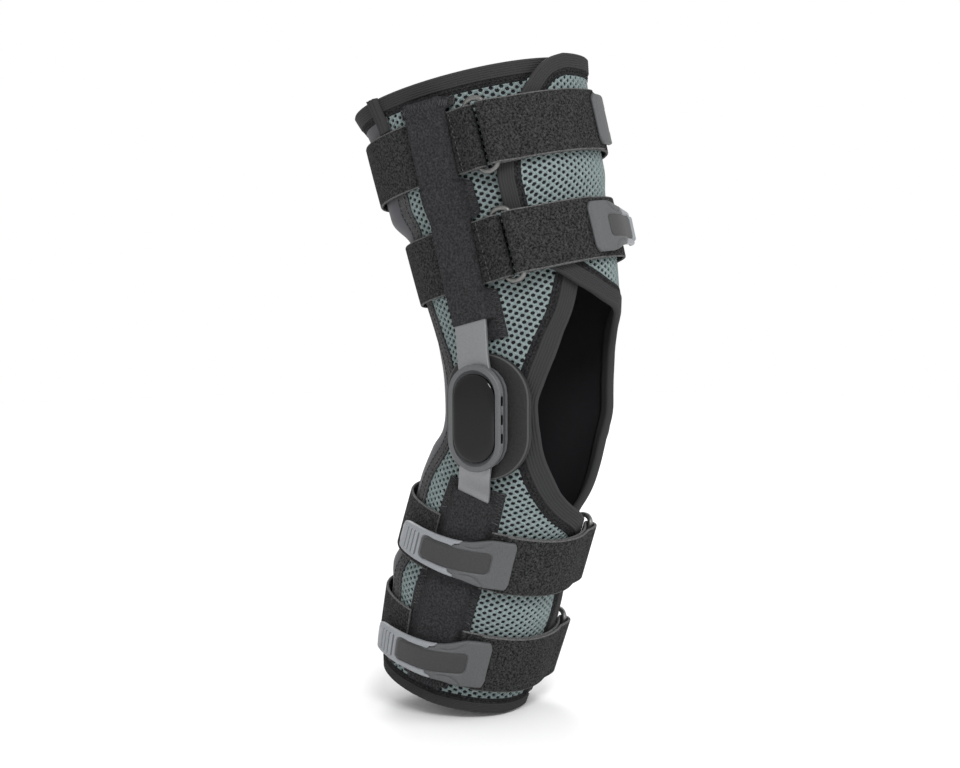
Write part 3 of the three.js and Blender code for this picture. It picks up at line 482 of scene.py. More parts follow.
def edge_path(edge, low, high):
    along = np.linspace(low, high, 400)
    return spread_evenly(edge(along), along, ROWS)


def inward(around, along, side):
    degree = degree_length(along, around)
    way = unit(pairs(np.gradient(around) * degree, np.gradient(along)))
    return -way[:, 1] * side / degree, way[:, 0] * side


def moved_in(path, side, reach):
    across, up = inward(*path, side)
    return path[0] + across * reach, path[1] + up * reach


print("each edge gets", ROWS + 1, "points")

# %% Columns of the panels
lateral_front = edge_path(lateral_edge, BOTTOM, TOP)
medial_front = edge_path(medial_edge, BOTTOM, FLAP_CORNER)
lateral_seam = edge_path(seam, BOTTOM + EDGE_INSET, TOP - EDGE_INSET)
medial_seam = (360 - lateral_seam[0], lateral_seam[1])
corner_along = np.linspace(FLAP_CORNER, FLAP_TOP, 60)
corner_around = medial_edge(corner_along)


def flap_top(around):
    start, rear = corner_around[-1], 360 - seam(TOP)
    flat = TOP + (FLAP_TOP - TOP) * (around - rear) / (start - rear)
    return np.where(around < start, flat, np.interp(around, corner_around[::-1], corner_along[::-1]))


def panel_columns(front, side, rear, top, count):
    columns = []
    for reach in (EDGE_INSET, PAST_BINDING):
        around, along = moved_in(front, side, reach)
        for end in (0, -1):
            around[end] = front[0][end] - side * reach / degree_length(front[1][end], front[0][end])
            along[end] = front[1][end]
        columns.append(pairs(around, np.clip(along, BOTTOM + EDGE_INSET, top - EDGE_INSET)))
    inner = [columns[1] + (pairs(*rear) - columns[1]) * u for u in np.linspace(0, 1, count)]
    return np.array([columns[0], *inner])


lateral_columns = panel_columns(lateral_front, -1, lateral_seam, TOP, 30)
medial_columns = panel_columns(medial_front, 1, medial_seam, FLAP_TOP, 44)
medial_columns[:, -1, 1] = flap_top(medial_columns[:, -1, 0]) - EDGE_INSET
from_seam, to_seam = pairs(*lateral_seam), pairs(*medial_seam)
SEAM_CLEAR = 0.002
back_shares = np.linspace(SEAM_CLEAR, 1 - SEAM_CLEAR, 40)
back_columns = np.array([from_seam + (to_seam - from_seam) * u for u in back_shares])
print("columns across the panels", len(lateral_columns), len(medial_columns), len(back_columns))

# %% [markdown]
# ## Base cloth of the panels
# Spacer mesh is two layers: a black knit next to the leg and an open net over it. The base is a
# thin closed wall. The net comes next as real yarn with holes, so it keeps its depth from any
# side; a painted pattern would look flat at the sleeve's outline.

# %% Base cloth and back panel
NET_DEPTH = 1.0


def panel(name, columns, thick):
    around, along = columns[..., 0], columns[..., 1]
    return wall(name, *(on_sleeve(along, around, lift) for lift in (thick, 0)))


lateral_base = fitted(panel("lateral_panel", lateral_columns, WALL - NET_DEPTH), "mesh", black_knit)
medial_base = fitted(panel("medial_panel", medial_columns, WALL - NET_DEPTH), "mesh", black_knit)
back_panel = fitted(panel("back_panel", back_columns, WALL), "stretch", stretch_cloth)
for piece in (lateral_base, medial_base, back_panel):
    print(piece.name, round(cloth_area(piece) * 1e4), "cm2")

# %% [markdown]
# ## The open net
# Knitted net has holes on a triangular lattice. Geometry Nodes can weave it flat: a grid whose
# every second column is shifted, cut into triangles, has a dual of six-sided cells. Each cell is
# extruded inwards to leave a rim of yarn, then down for the hole's wall, and its floor is
# deleted. Flat weaving keeps every cell the same size, as in the real cloth off the roll.

# %% Geometry tree helpers
def geometry_tree(name, **values):
    inputs = {label.replace("_", " "): value for label, value in values.items()}
    inputs = {"Geometry": "Geometry", **inputs, "Yarn": "Material"}
    tree, given, result = new_tree(name, "Geometry", inputs, {"Geometry": "Geometry"})
    return tree, given, result, partial(node, tree), partial(maths, tree)


def yarn_out(add, given, geometry):
    real = add("GeometryNodeRealizeInstances", Geometry=geometry)
    return add("GeometryNodeSetMaterial", Geometry=real[0], Material=given["Yarn"])[0]


def from_nodes(name, tree, mesh=None, **inputs):
    piece = bpy.data.objects.new(name, mesh or bpy.data.meshes.new(name))
    bpy.context.scene.collection.objects.link(piece)
    modifier = piece.modifiers.new(tree.name, "NODES")
    modifier.node_group = tree
    for item in tree.interface.items_tree:
        if item.in_out == "INPUT" and item.name in inputs:
            modifier[item.identifier] = inputs[item.name]
    return applied(piece)


print("geometry tree helpers ready")

# %% Net tree
HOLE_TAPER, SAME_POINT = 0.9, 0.00002
net_tree, given, result, add, calc = geometry_tree(
    "Woven net", Width=0.1, Height=0.1, Column_pitch=0.0033, Row_pitch=0.0042, Hole_across=0.78,
    Hole_along=0.53, Depth=0.001,
)
sheet_columns = calc("ROUND", calc("DIVIDE", given["Width"], given["Column pitch"]))
sheet_rows = calc("ROUND", calc("DIVIDE", given["Height"], given["Row pitch"]))
grid = add("GeometryNodeMeshGrid",
           Size_X=calc("MULTIPLY", sheet_columns, given["Column pitch"]),
           Size_Y=calc("MULTIPLY", sheet_rows, given["Row pitch"]),
           Vertices_X=calc("ADD", sheet_columns, 1.0), Vertices_Y=calc("ADD", sheet_rows, 1.0))
spot = add("ShaderNodeSeparateXYZ", Vector=add("GeometryNodeInputPosition")[0])
from_left = calc("ADD", calc("DIVIDE", spot[0], given["Column pitch"]), calc("DIVIDE", sheet_columns, 2.0))
odd = calc("MODULO", calc("ROUND", from_left), 2.0)
shift = calc("MULTIPLY", odd, calc("DIVIDE", given["Row pitch"], 2.0))
staggered = add("GeometryNodeSetPosition", Geometry=grid["Mesh"],
                Offset=add("ShaderNodeCombineXYZ", Y=shift)[0])
cut = add("GeometryNodeTriangulate", {"quad_method": "SHORTEST_DIAGONAL"}, Mesh=staggered[0])
cells = add("GeometryNodeDualMesh", Mesh=cut[0])
rim = add("GeometryNodeExtrudeMesh", {"mode": "FACES"}, Mesh=cells[0], Offset_Scale=0.0, Individual=True)
narrow = rim["Mesh"]
for axis, share in (((1, 0, 0), given["Hole across"]), ((0, 1, 0), given["Hole along"])):
    narrow = add("GeometryNodeScaleElements", {"domain": "FACE", "scale_mode": "SINGLE_AXIS"},
                 Geometry=narrow, Selection=rim["Top"], Scale=share, Axis=axis)[0]
down = add("GeometryNodeExtrudeMesh", {"mode": "FACES"}, Mesh=narrow, Selection=rim["Top"],
           Offset=(0, 0, 1), Offset_Scale=calc("MULTIPLY", given["Depth"], -1.0), Individual=True)
tapered = add("GeometryNodeScaleElements", {"domain": "FACE"}, Geometry=down["Mesh"],
              Selection=down["Top"], Scale=HOLE_TAPER)
opened = add("GeometryNodeDeleteGeometry", {"domain": "FACE"}, Geometry=tapered[0], Selection=down["Top"])
merged = add("GeometryNodeMergeByDistance", Geometry=opened[0], Distance=SAME_POINT)
net_tree.links.new(yarn_out(add, given, merged[0]), result["Geometry"])
print("net tree has", len(net_tree.nodes), "nodes")

# %% [markdown]
# The flat net is then wrapped on like a tailor's pattern: across it we count millimetres from the
# line of the hinge, and along it millimetres of limb. Cells that fall outside the panel's outline
# are dropped, and the ragged rim hides under the binding and the seam tape.

# %% Wrap the net
def inside_outline(points, outline):
    x, y = points.T
    inside = np.zeros(len(points), bool)
    for (x0, y0), (x1, y1) in zip(outline, np.roll(outline, -1, 0)):
        if y0 != y1:
            inside ^= ((y0 > y) != (y1 > y)) & (x < (x1 - x0) * (y - y0) / (y1 - y0) + x0)
    return inside


NET_SPARE, NET_STEP, LAST_CELL = 6.0, 2.0, 1.001


def wrapped_net(name, outline, hinge_line, low, high):
    turns = np.arange(low, high + 1.0)
    alongs = np.arange(BOTTOM - NET_SPARE, TOP + NET_SPARE + 1, NET_STEP)
    spots = on_sleeve(alongs[:, None], turns[None], WALL)
    reach = np.array([distances(row) for row in spots])
    reach -= np.array([np.interp(hinge_line, turns, row) for row in reach])[:, None]
    measure = np.arange(math.floor(reach.min()), math.ceil(reach.max()) + 1.0)
    turn_at = np.array([np.interp(measure, row, turns) for row in reach])
    width, height = measure[-1] - measure[0], alongs[-1] - alongs[0]
    net = from_nodes(name, net_tree, Width=width / 1000, Height=height / 1000, Depth=NET_DEPTH / 1000,
                     Yarn=mesh_yarn)
    flat = np.empty(len(net.data.vertices) * 3)
    net.data.vertices.foreach_get("co", flat)
    flat = flat.reshape(-1, 3) * 1000
    column_at = np.clip(flat[:, 0] + width / 2, 0, len(measure) - LAST_CELL)
    row_at = np.clip((flat[:, 1] + height / 2) / NET_STEP, 0, len(alongs) - LAST_CELL)
    column, row = column_at.astype(int), row_at.astype(int)
    right, above = column_at - column, row_at - row
    low_turn = turn_at[row, column] * (1 - right) + turn_at[row, column + 1] * right
    high_turn = turn_at[row + 1, column] * (1 - right) + turn_at[row + 1, column + 1] * right
    around = low_turn * (1 - above) + high_turn * above
    along = alongs[0] + row_at * NET_STEP
    net.data.vertices.foreach_set("co", (on_sleeve(along, around, WALL + flat[:, 2]) / 1000).ravel())
    keep = inside_outline(pairs(around, along), outline)
    bm = bmesh.new()
    bm.from_mesh(net.data)
    bmesh.ops.delete(bm, geom=[v for v, stays in zip(bm.verts, keep) if not stays], context="VERTS")
    bmesh.ops.delete(bm, geom=[v for v in bm.verts if not v.link_faces], context="VERTS")
    bm.to_mesh(net.data)
    bm.free()
    net.data.shade_smooth()
    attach(net, "root")
    print(name, len(net.data.polygons), "faces")
    return net


# %% Nets of both panels
# The ends of the edges are left out where another edge's binding crosses them
UNDER_BINDING, FLAP_RIM_END = 6, 392
lateral_outline = np.concatenate([
    pairs(*moved_in(lateral_front, -1, UNDER_BINDING))[1:-2],
    pairs(*lateral_seam)[::-1][2:-1],
])
flap_rim = np.linspace(360 - seam(TOP), FLAP_RIM_END, 60)
medial_outline = np.concatenate([
    pairs(*medial_seam)[1:-2],
    pairs(flap_rim, flap_top(flap_rim) - UNDER_BINDING),
    pairs(*moved_in(medial_front, 1, UNDER_BINDING))[::-1][6:-1],
])
lateral_net = wrapped_net("lateral_net", lateral_outline, hinge_line=87, low=-30, high=140)
medial_net = wrapped_net("medial_net", medial_outline, hinge_line=273, low=220, high=425)

# %% [markdown]
# ## Bindings
# The sleeve's raw edges are closed by ribbed elastic tape, folded in half over the edge. Its ribs
# run with the edge, so they belong in the outline that is swept along it. Beyond the ribs lies a
# flat woven margin, where the stitching goes. The tape is narrower at the hems than in front.

# %% Folded tape
RIBS, RIB_HEIGHT = 6, 0.55
BINDING_LIFT = WALL + SLIT + TAPE
FOLD_OUTSIDE, FOLD_INSIDE = 1.0, 1.4


def tape_outline():
    top = np.linspace(BINDING_WIDTH, FOLD_OUTSIDE, RIBS * 5 + 1)
    ribs = RIB_HEIGHT * (np.abs(np.sin(np.linspace(0, RIBS * math.pi, len(top)))) - 1)
    turn = np.linspace(math.pi / 2, -math.pi / 2, 9)[1:-1]
    rise = BINDING_LIFT - WALL / 2 - RIB_HEIGHT
    fold = pairs(FOLD_OUTSIDE - np.cos(turn), WALL / 2 + rise * np.sin(turn))
    under = [(x, WALL - BINDING_LIFT) for x in (FOLD_OUTSIDE, 4, 8, BINDING_WIDTH)]
    above, below = WALL + SLIT / 2, -SLIT
    inner = [(BINDING_WIDTH, below), (FOLD_INSIDE, below), (FOLD_INSIDE, above), (BINDING_WIDTH, above)]
    return np.concatenate([pairs(top, BINDING_LIFT + ribs), fold, under, inner])


# Rows of (reach past the ribs, height over the cloth)
MARGIN_WIDTH = 4.6
MARGIN_OUTLINE = np.array([
    (-0.4, 0.75), (0.3, 0.62), (2.2, 0.5), (MARGIN_WIDTH, 0.42), (MARGIN_WIDTH + 0.3, 0.1),
    (MARGIN_WIDTH, -0.3), (-0.4, -0.3),
]) + (BINDING_WIDTH, WALL)


def swept(path, side, outline):
    across, up = inward(*path, side)
    x, lift = outline.T
    around = path[0][:, None] + across[:, None] * x
    along = path[1][:, None] + up[:, None] * x
    return on_sleeve(along, around, lift[None])


def binding(name, path, side, narrowing):
    outlines = [outline * (narrowing, 1) for outline in (tape_outline(), MARGIN_OUTLINE)]
    ribbed, margin = (loft(name, swept(path, side, outline)) for outline in outlines)
    first = len(ribbed.data.polygons)
    piece = fitted(joined(name, ribbed, margin), "tape", elastic, margin_cloth)
    second_finish(piece, range(first, len(piece.data.polygons)))
    return piece


def path_length(path):
    return distances(on_limb(path[1], path[0], WALL))[-1]


def evenly_stepped(path, step):
    return spread_evenly(*path, int(path_length(path) / step))


def between(path, low, high):
    chosen = (path[1] > low) & (path[1] < high)
    return path[0][chosen], path[1][chosen]


def beside_edge(edge, along, reach):
    return edge(along) + reach / degree_length(along, edge(along))


print("the folded tape's outline has", len(tape_outline()), "points")

# %% Edges with a binding
TOP_JOINT, JOINT_GAP, RIM_RISES = 262, 2, 245
RIB_STEP, PAST_HEM, RIM_CLEAR, HEM_CLEAR = 3.5, 8.5, 2, 1
top_around = np.linspace(beside_edge(lateral_edge, TOP, RIM_CLEAR), TOP_JOINT + JOINT_GAP, 400)
top_edge = (top_around, np.where(top_around < RIM_RISES, TOP, flap_top(top_around)))
flap_around = np.linspace(TOP_JOINT + JOINT_GAP, corner_around[-1], 100)
flap_edge = (
    np.concatenate([flap_around, corner_around[::-1][1:-1], medial_front[0][::-1]]),
    np.concatenate([flap_top(flap_around), corner_along[::-1][1:-1], medial_front[1][::-1]]),
)
bottom_around = np.linspace(beside_edge(lateral_edge, BOTTOM, HEM_CLEAR),
                            beside_edge(medial_edge, BOTTOM, -RIM_CLEAR), 300)
bottom_edge = (bottom_around, np.full(len(bottom_around), float(BOTTOM)))
top_path, flap_path, lateral_path, bottom_path = (
    evenly_stepped(edge, RIB_STEP) for edge in (top_edge, flap_edge, lateral_front, bottom_edge)
)
flap_path = between(flap_path, BOTTOM + PAST_HEM, math.inf)
lateral_path = between(lateral_path, BOTTOM + PAST_HEM, TOP - PAST_BINDING)
# Path, side of the cloth and share of the full width
edge_paths = {
    "top_binding": (top_path, -1, 0.82),
    "medial_front_binding": (flap_path, -1, 0.86),
    "lateral_front_binding": (lateral_path, -1, 1.0),
    "bottom_binding": (bottom_path, 1, 0.7),
}
bindings = {name: binding(name, *path) for name, path in edge_paths.items()}
print({name: len(piece.data.polygons) for name, piece in bindings.items()})

# %% [markdown]
# ## Seam tapes and the folded tape end
# Flat tape covers the seams between mesh and back panel. The top binding's end is folded over
# and stands up a little at the lateral seam.

# %% Flat tapes
SEAM_TAPE_WIDTH, TAPE_SUNK = 11, 0.2
TAPE_SHARES = np.array([-0.5, -0.48, -0.3, 0, 0.3, 0.48, 0.5, 0.5, -0.5])
TAPE_RISE = np.array([0.4, 0.85, 1, 1, 1, 0.85, 0.4])


def beside_seam(path, aside, lift):
    around, along = between(path, BOTTOM + PAST_BINDING, TOP - PAST_BINDING)
    degree = degree_length(along, around)
    return on_limb(along[:, None], around[:, None] + aside / degree[:, None], lift)


def seam_tape(name, path):
    lift = np.append(WALL + SLIT + TAPE * TAPE_RISE, [WALL - TAPE_SUNK] * 2)
    return fitted(loft(name, beside_seam(path, TAPE_SHARES * SEAM_TAPE_WIDTH, lift)), "tape", tape_cloth)


tapes = [seam_tape("lateral_seam_tape", lateral_seam), seam_tape("medial_seam_tape", medial_seam)]
print([piece.name for piece in tapes])

# %% Folded tape end
FOLD_WIDTH, FOLD_LENGTH, FOLD_SEAT, FOLD_RISE = 10, 22, 0.4, 2.6
FOLD_DIP, FOLD_SUNK = 0.32, 0.2
fold_across = np.linspace(-0.5, 0.5, 25)
fold_along = TOP - np.linspace(1, 0, 14)[:, None] * FOLD_LENGTH
fold_turn = seam(TOP) + fold_across * FOLD_WIDTH / degree_length(TOP, seam(TOP))
rounding = 1 - (2 * fold_across) ** 6
ripple = 1 - FOLD_DIP + FOLD_DIP * np.abs(np.cos(fold_across * 3 * math.pi))
fold_high = BINDING_LIFT + FOLD_SEAT + FOLD_RISE * rounding * ripple
fold_low = np.full(len(fold_high), BINDING_LIFT - FOLD_SUNK)
fold_turns = np.append(fold_turn, fold_turn[::-1])
fold_spots = on_limb(fold_along, fold_turns, np.append(fold_high, fold_low))
tape_end = fitted(loft("seam_fold", fold_spots), "tape", elastic)
print(tape_end.name, FOLD_LENGTH, "mm long")

# %% [markdown]
# ## Arm pockets
# Each hinge arm sits in a pocket of loop cloth. Between straps its flanges lie on the sleeve and
# are sewn down; over a strap it narrows and bridges it. A cross section that changes along the
# limb says all this, so the pocket is one loft.

# %% Sizes of pockets and straps
ARM_WIDTH, ARM_THICK, ARM_SLANT = 22, 3, 0.057
POCKET_CLOTH, POCKET_HALF, FLANGE_WIDTH = 0.9, 13, 5.5
POCKET_LIFT, POCKET_OVER_STRAP, POCKET_SUNK = 3.1, 7.3, 0.2
STRAP_WIDTH, STRAP_THICK, STRAP_LIFT = 39, 1.8, 4.9
STRAP_CLEAR, BRIDGE_RAMP, REAR_REACH = STRAP_WIDTH / 2 + 1, 4, 9.0
# Turn is the way round the limb in which ring and end are counted. Rise and tip lift the tab at its
# middle and its end, and slant moves its end along the limb.
STRAP_COLUMNS = ("name", "along", "turn", "ring", "end", "rise", "tip", "slant")
STRAPS = [dict(zip(STRAP_COLUMNS, row)) for row in (
    ("thigh_upper", 166, 1, 58.5, 352.5, -3.5, -3.5, 0),
    ("thigh_lower", 98.5, 1, 59, 371, -1, 8, 0),
    ("calf_upper", -91.5, -1, 45, 307.5, 2.6, -0.5, -3),
    ("calf_lower", -160, -1, 45, 307.5, 3, -0.5, -7),
)]
SIDES = ((-1, "lateral"), (1, "medial"))
LEVELS = (("thigh", 1), ("calf", -1))
# Upper and lower pocket: first and last row, and the arm's mouth with its slope
FLANGE_FROM, POCKET_TO = {1: 45, -1: -46}, {1: 195, -1: -184}
MOUTH = {1: (58, 0), -1: (-52, -0.12)}


def arm_angle(along):
    ahead = limb["set"](along) + ARM_SLANT * along
    deep = np.where(ahead > 0, limb["front"](along), limb["back"](along))
    return np.degrees(np.arccos(ahead / deep))


def bridged(hand, level):
    return [strap for strap in STRAPS if level in strap["name"] and strap["turn"] * hand < 0]


def pocket_floor(hand, level):
    return POCKET_OVER_STRAP if bridged(hand, level) else POCKET_LIFT


print("at the hinge the arms are", round(float(arm_angle(0.0))), "degrees from the front")

# %% Pockets
POCKET_SHARES = np.concatenate([[-1, -0.985], np.linspace(-0.96, 0.96, 61), [0.985, 1]])
POCKET_RIM = np.where(np.abs(POCKET_SHARES) > 0.99, 0.25, 1.0)
HUMP_SIDE, MOUTH_STEP, CLOSE_ROWS = (ARM_WIDTH / 2 + 0.3, POCKET_HALF + 1.2), (-0.3, 0.4), 5


def arm_pocket(name, hand, level, up):
    mouth, slope = MOUTH[up]
    close_to = mouth + up * CLOSE_ROWS
    along = np.append(np.linspace(FLANGE_FROM[up], close_to, 40),
                      np.linspace(close_to + up, POCKET_TO[up], 105))
    bridge = np.zeros(len(along))
    for strap in bridged(hand, level):
        away = np.abs(along - strap["along"])
        bridge = np.maximum(bridge, 1 - smooth(away, STRAP_CLEAR, STRAP_CLEAR + BRIDGE_RAMP))
    floor = (POCKET_LIFT + (POCKET_OVER_STRAP - POCKET_LIFT) * bridge)[:, None]
    top = pocket_floor(hand, level) + POCKET_CLOTH + GAP + ARM_THICK + GAP + POCKET_CLOTH
    reach = POCKET_HALF + GAP + FLANGE_WIDTH * (1 - bridge)
    rear_reach = np.where(along < mouth, REAR_REACH, reach) if up > 0 else reach
    ahead = POCKET_SHARES * np.where(POCKET_SHARES > 0, reach[:, None], rear_reach[:, None])
    aside = ahead * -hand
    hump = 1 - smooth(np.abs(aside), *HUMP_SIDE)
    hump = hump * smooth(up * (along[:, None] - mouth - slope * ahead), *MOUTH_STEP)
    low = floor + POCKET_CLOTH * POCKET_RIM
    high = low + (top - floor - POCKET_CLOTH) * hump
    outline = np.concatenate([aside, aside[:, ::-1]], 1)
    lift = np.concatenate([high, np.broadcast_to(floor - POCKET_SUNK, aside.shape)], 1)
    middle = -hand * arm_angle(along)
    turn = middle[:, None] - outline / degree_length(along, middle)[:, None]
    on_cloth = on_limb(along[:, None], turn, lift)
    stiff = on_bar(along, section(along, middle), outline, lift)
    over = np.maximum(bridge[:, None], np.concatenate([hump, np.zeros_like(hump)], 1))[..., None]
    spots = on_cloth + (stiff - on_cloth) * over
    pocket_ends.append(spots[END_ROWS, 1 : len(POCKET_SHARES) - 1])
    return fitted(loft(name, spots), "pile", pocket_pile)


# Three rows of the outer face, for the stitches across each pocket's end
pocket_ends, END_ROWS = [], slice(-5, -2)
pockets = [arm_pocket(f"{side}_{level}_pocket", hand, level, up)
           for hand, side in SIDES for level, up in LEVELS]
print([piece.name for piece in pockets])

# %% [markdown]
# ## Straps
# A strap is a flat ribbon of loop cloth, so its path and its width are enough: a cloth simulation
# would only find the same taut path again. One strap of each pair folds round the ring and goes
# behind the leg. The other comes from the far side, goes through the ring and folds back.

# %% Strap folds
WIRE, RING_HALF, RING_LENGTH = 1.7, 5, 45
STRAP_TAIL, STRAP_SETTLE, STRAP_ON_FLANGE = 12, 17, 16.5
FOLD_RADIUS = WIRE + 4 * GAP + STRAP_THICK / 2
STRAP_MIDDLE = STRAP_LIFT + STRAP_THICK / 2
RING_LOW = STRAP_MIDDLE + FOLD_RADIUS
RING_HIGH = RING_LOW + LAP
LAYER, PILE_SWELL, STRAP_STEP = STRAP_THICK + GAP, 0.12, 1.2


def strap_degree(strap):
    return float(degree_length(strap["along"], strap["turn"] * strap["ring"]))


def rest_lift(strap, angle):
    around = angle if strap["turn"] > 0 else 360 - angle
    laps = [lap_lift(strap["along"] + v * STRAP_WIDTH / 2, around) for v in (-1, 0, 1)]
    return STRAP_MIDDLE + np.max(laps, 0)


def fold(middle, lift, degree, way):
    turn = math.pi * (np.linspace(0, 1, 20) - 0.5)
    return pairs(middle + way * FOLD_RADIUS * np.cos(turn) / degree, lift + FOLD_RADIUS * np.sin(turn))


def far_pocket(strap):
    return 360 - float(arm_angle(strap["along"]))


def eased(path, degree):
    flat = path * (degree, 1)
    reach = distances(flat)
    even = np.linspace(0, reach[-1], int(reach[-1] / STRAP_STEP))
    flat = pairs(*(np.interp(even, reach, flat[:, k]) for k in (0, 1)))
    return softened(flat, 2) / (degree, 1)


print("a ring's long sides lie", round(RING_LOW, 2), "and", round(RING_HIGH, 2), "mm over the limb")

# %% Strap paths
def ring_path(strap):
    degree = strap_degree(strap)
    start = strap["ring"] + STRAP_SETTLE / degree
    end = far_pocket(strap) - STRAP_ON_FLANGE / degree
    return eased(np.concatenate([
        [(strap["ring"] + (STRAP_TAIL - 1) / degree, STRAP_MIDDLE)],
        fold(strap["ring"] + RING_HALF / degree, RING_LOW, degree, -1),
        [(strap["ring"] + STRAP_TAIL / degree, STRAP_MIDDLE + LAYER)],
        pairs(np.linspace(start, end, 60), STRAP_MIDDLE),
    ]), degree)


def pull_path(strap):
    degree = strap_degree(strap)
    turned = strap["ring"] + 360 - RING_HALF / degree
    settled = strap["ring"] + 360 - STRAP_SETTLE / degree
    start = far_pocket(strap) + STRAP_ON_FLANGE / degree
    under = np.linspace(start, turned, 50)[:-2]
    back = np.linspace(settled, strap["end"], 40)
    return eased(np.concatenate([
        pairs(under, rest_lift(strap, under)),
        fold(turned, RING_HIGH, degree, 1),
        pairs(back, rest_lift(strap, back) + LAYER),
    ]), degree)


def across_strap(strap, angle, lift, share):
    half = STRAP_WIDTH / 2
    edges = [on_limb(float(strap["along"] + end), strap["turn"] * angle, lift) for end in (-half, half)]
    return edges[0] + (edges[1] - edges[0]) * share[:, None]


print("points on the ring straps' paths", [len(ring_path(strap)) for strap in STRAPS])

# %% Strap bodies
def ribbon(name, strap, path):
    degree = strap_degree(strap)
    way = unit(pairs(np.gradient(path[:, 0]) * degree, np.gradient(path[:, 1])))
    half, round_by = STRAP_WIDTH / 2, STRAP_THICK / 2
    turn = np.linspace(math.pi / 2, -math.pi / 2, 5)
    flat = np.linspace(-half + round_by, half - round_by, 12)
    outline = np.concatenate([
        pairs(flat, round_by + PILE_SWELL * (1 - (flat / half) ** 2)),
        pairs(half - round_by + round_by * np.cos(turn), round_by * np.sin(turn))[1:],
        pairs(flat[::-1][1:-1], -round_by),
        pairs(-half + round_by - round_by * np.cos(turn), -round_by * np.sin(turn))[:-1],
    ])
    aside, shift = outline.T
    angle = path[:, :1] - way[:, 1:] * shift / degree
    lift = path[:, 1:] + way[:, :1] * shift
    spots = across_strap(strap, angle, lift, (aside + half) / STRAP_WIDTH)
    piece = fitted(loft(name, spots), "pile", loop_pile, cut_edge)
    at_edge = np.abs(aside) > half - round_by * 1.01
    at_edge &= np.roll(at_edge, -1)
    at_edge = at_edge if kept_order(piece, spots[0, 0]) else np.roll(at_edge[::-1], -1)
    second_finish(piece, np.flatnonzero(np.tile(at_edge, len(path) - 1)).tolist() + [-2, -1])
    return piece


for strap in STRAPS:
    ribbon(strap["name"] + "_ring_strap", strap, ring_path(strap))
    ribbon(strap["name"] + "_pull_strap", strap, pull_path(strap))

# %% [markdown]
# ## Wire rings
# Each ring is bent from round wire into a long loop. It is a tube along a closed line, tilted so
# that one long side is in the ring strap's fold and the other in the pull strap's.

# %% Rings
def wire_ring(strap):
    degree = strap_degree(strap)
    long = RING_LENGTH / 2 - RING_HALF
    turn = np.linspace(0, math.pi, 16)
    half = pairs(RING_HALF * np.cos(turn), long + RING_HALF * np.sin(turn))
    reach, up = np.concatenate([half, -half]).T
    lift = RING_HIGH + (RING_LOW - RING_HIGH) * (reach + RING_HALF) / (2 * RING_HALF)
    spots = on_limb(strap["along"] + up, strap["turn"] * (strap["ring"] + reach / degree), lift)
    way = unit(np.roll(spots, -1, 0) - np.roll(spots, 1, 0))
    aside = unit(np.cross(way, in_section(strap["along"], 0.0, 0.0) - spots))
    out = np.cross(aside, way)
    turn = np.linspace(0, 2 * math.pi, 14, endpoint=False)[None, :, None]
    rings = spots[:, None] + WIRE * (np.cos(turn) * aside[:, None] + np.sin(turn) * out[:, None])
    return fitted(loft(strap["name"] + "_ring", rings, closed=True), "ring", ring_metal)


rings = [wire_ring(strap) for strap in STRAPS]
print(len(rings), "rings")

# %% [markdown]
# ## Tabs
# The pull strap ends in a two-colour moulded tab: a dark body with a bare sunken plate, and a
# light grip whose two prongs run beside it and whose end has ribs for the thumb. Each is a grid
# of heights over the tab's outline, bent along the strap.

# %% Tab sizes
TAB_LENGTH, TAB_OVERLAP, TAB_THICK, TAB_LIFT = 78, 7, 2.6, 10
tab_half = table_curve(((0, 16), (14, 16), (30, 12.6), (46, 11.4), (70, 10), (76, 8.4), (78, 5.5)))
GRIP_FROM, GRIP_BASE = 33, 1
# The crease reach is how far past the outer ribs the painted shade between the ribs goes
RIDGES, RIDGE, RIDGE_HALF, CREASE_SHADE_TO = (61, 64, 67, 70), 1.4, 7.4, 1.8
PLATE, PLATE_WIDE, PLATE_CORNER, PLATE_SUNK = (14, 56), 6.9, 3.2, 0.15
PLATE_LINE, LINE_CORNER, GROOVE, GROOVE_SIDE = 0.8, 3.8, 0.75, (0.2, 0.8)
NECK_HALF, NECK_TO, NECK_SPARE, NECK_RAMP, BODY_CORNER = 7.6, 57, 0.4, (3.6, 5.4), 3.6
FORK, FORK_TO, FORK_MORE, FORK_MORE_TO = 2.2, 1.2, 0.4, 4
SWIRL_ALONG, SWIRL_ASIDE, SWIRL_RADIUS, SWIRL_IN, SWIRL_OUT = 27, 22, 13, (3, 5), (29, 31)
BODY_ROUND, GRIP_ROUND, END_ROUND, END_RAMP, END_SHARE = 1.1, 1.3, (-3, 2.5), (-0.5, 2.5), 0.55
PLATE_SOFT, LINE_SOFT, PLATE_SHARE, UNDER_STEP = 0.3, 0.4, 0.92, (-0.6, -0.2)
GRIP_EDGE, GUTTER_HEIGHT, GUTTER_SIDE, GUTTER_END = 0.4, 0.9, (0.15, 0.4), (0.3, 0.7)
RIB_SIDE, RIB_TOP, PRONG_RAMP, TIP_LENGTH, TIP_DROP = (6.8, 8), 0.95, 2, 4, 0.5
TAB_SHARES = np.concatenate([[-1, -0.985, -0.955], np.linspace(-0.92, 0.92, 45), [0.955, 0.985, 1]])
BESIDE_PLATE = np.concatenate([
    [0.02, 0.05, 0.09, 0.14, 0.2, 0.27], np.linspace(0.35, 0.83, 7), [0.9, 0.95, 0.98, 1],
])
PLATE_COLUMNS = 19
print("a tab is", TAB_LENGTH, "mm long and", 2 * tab_half(0), "mm wide at its start")

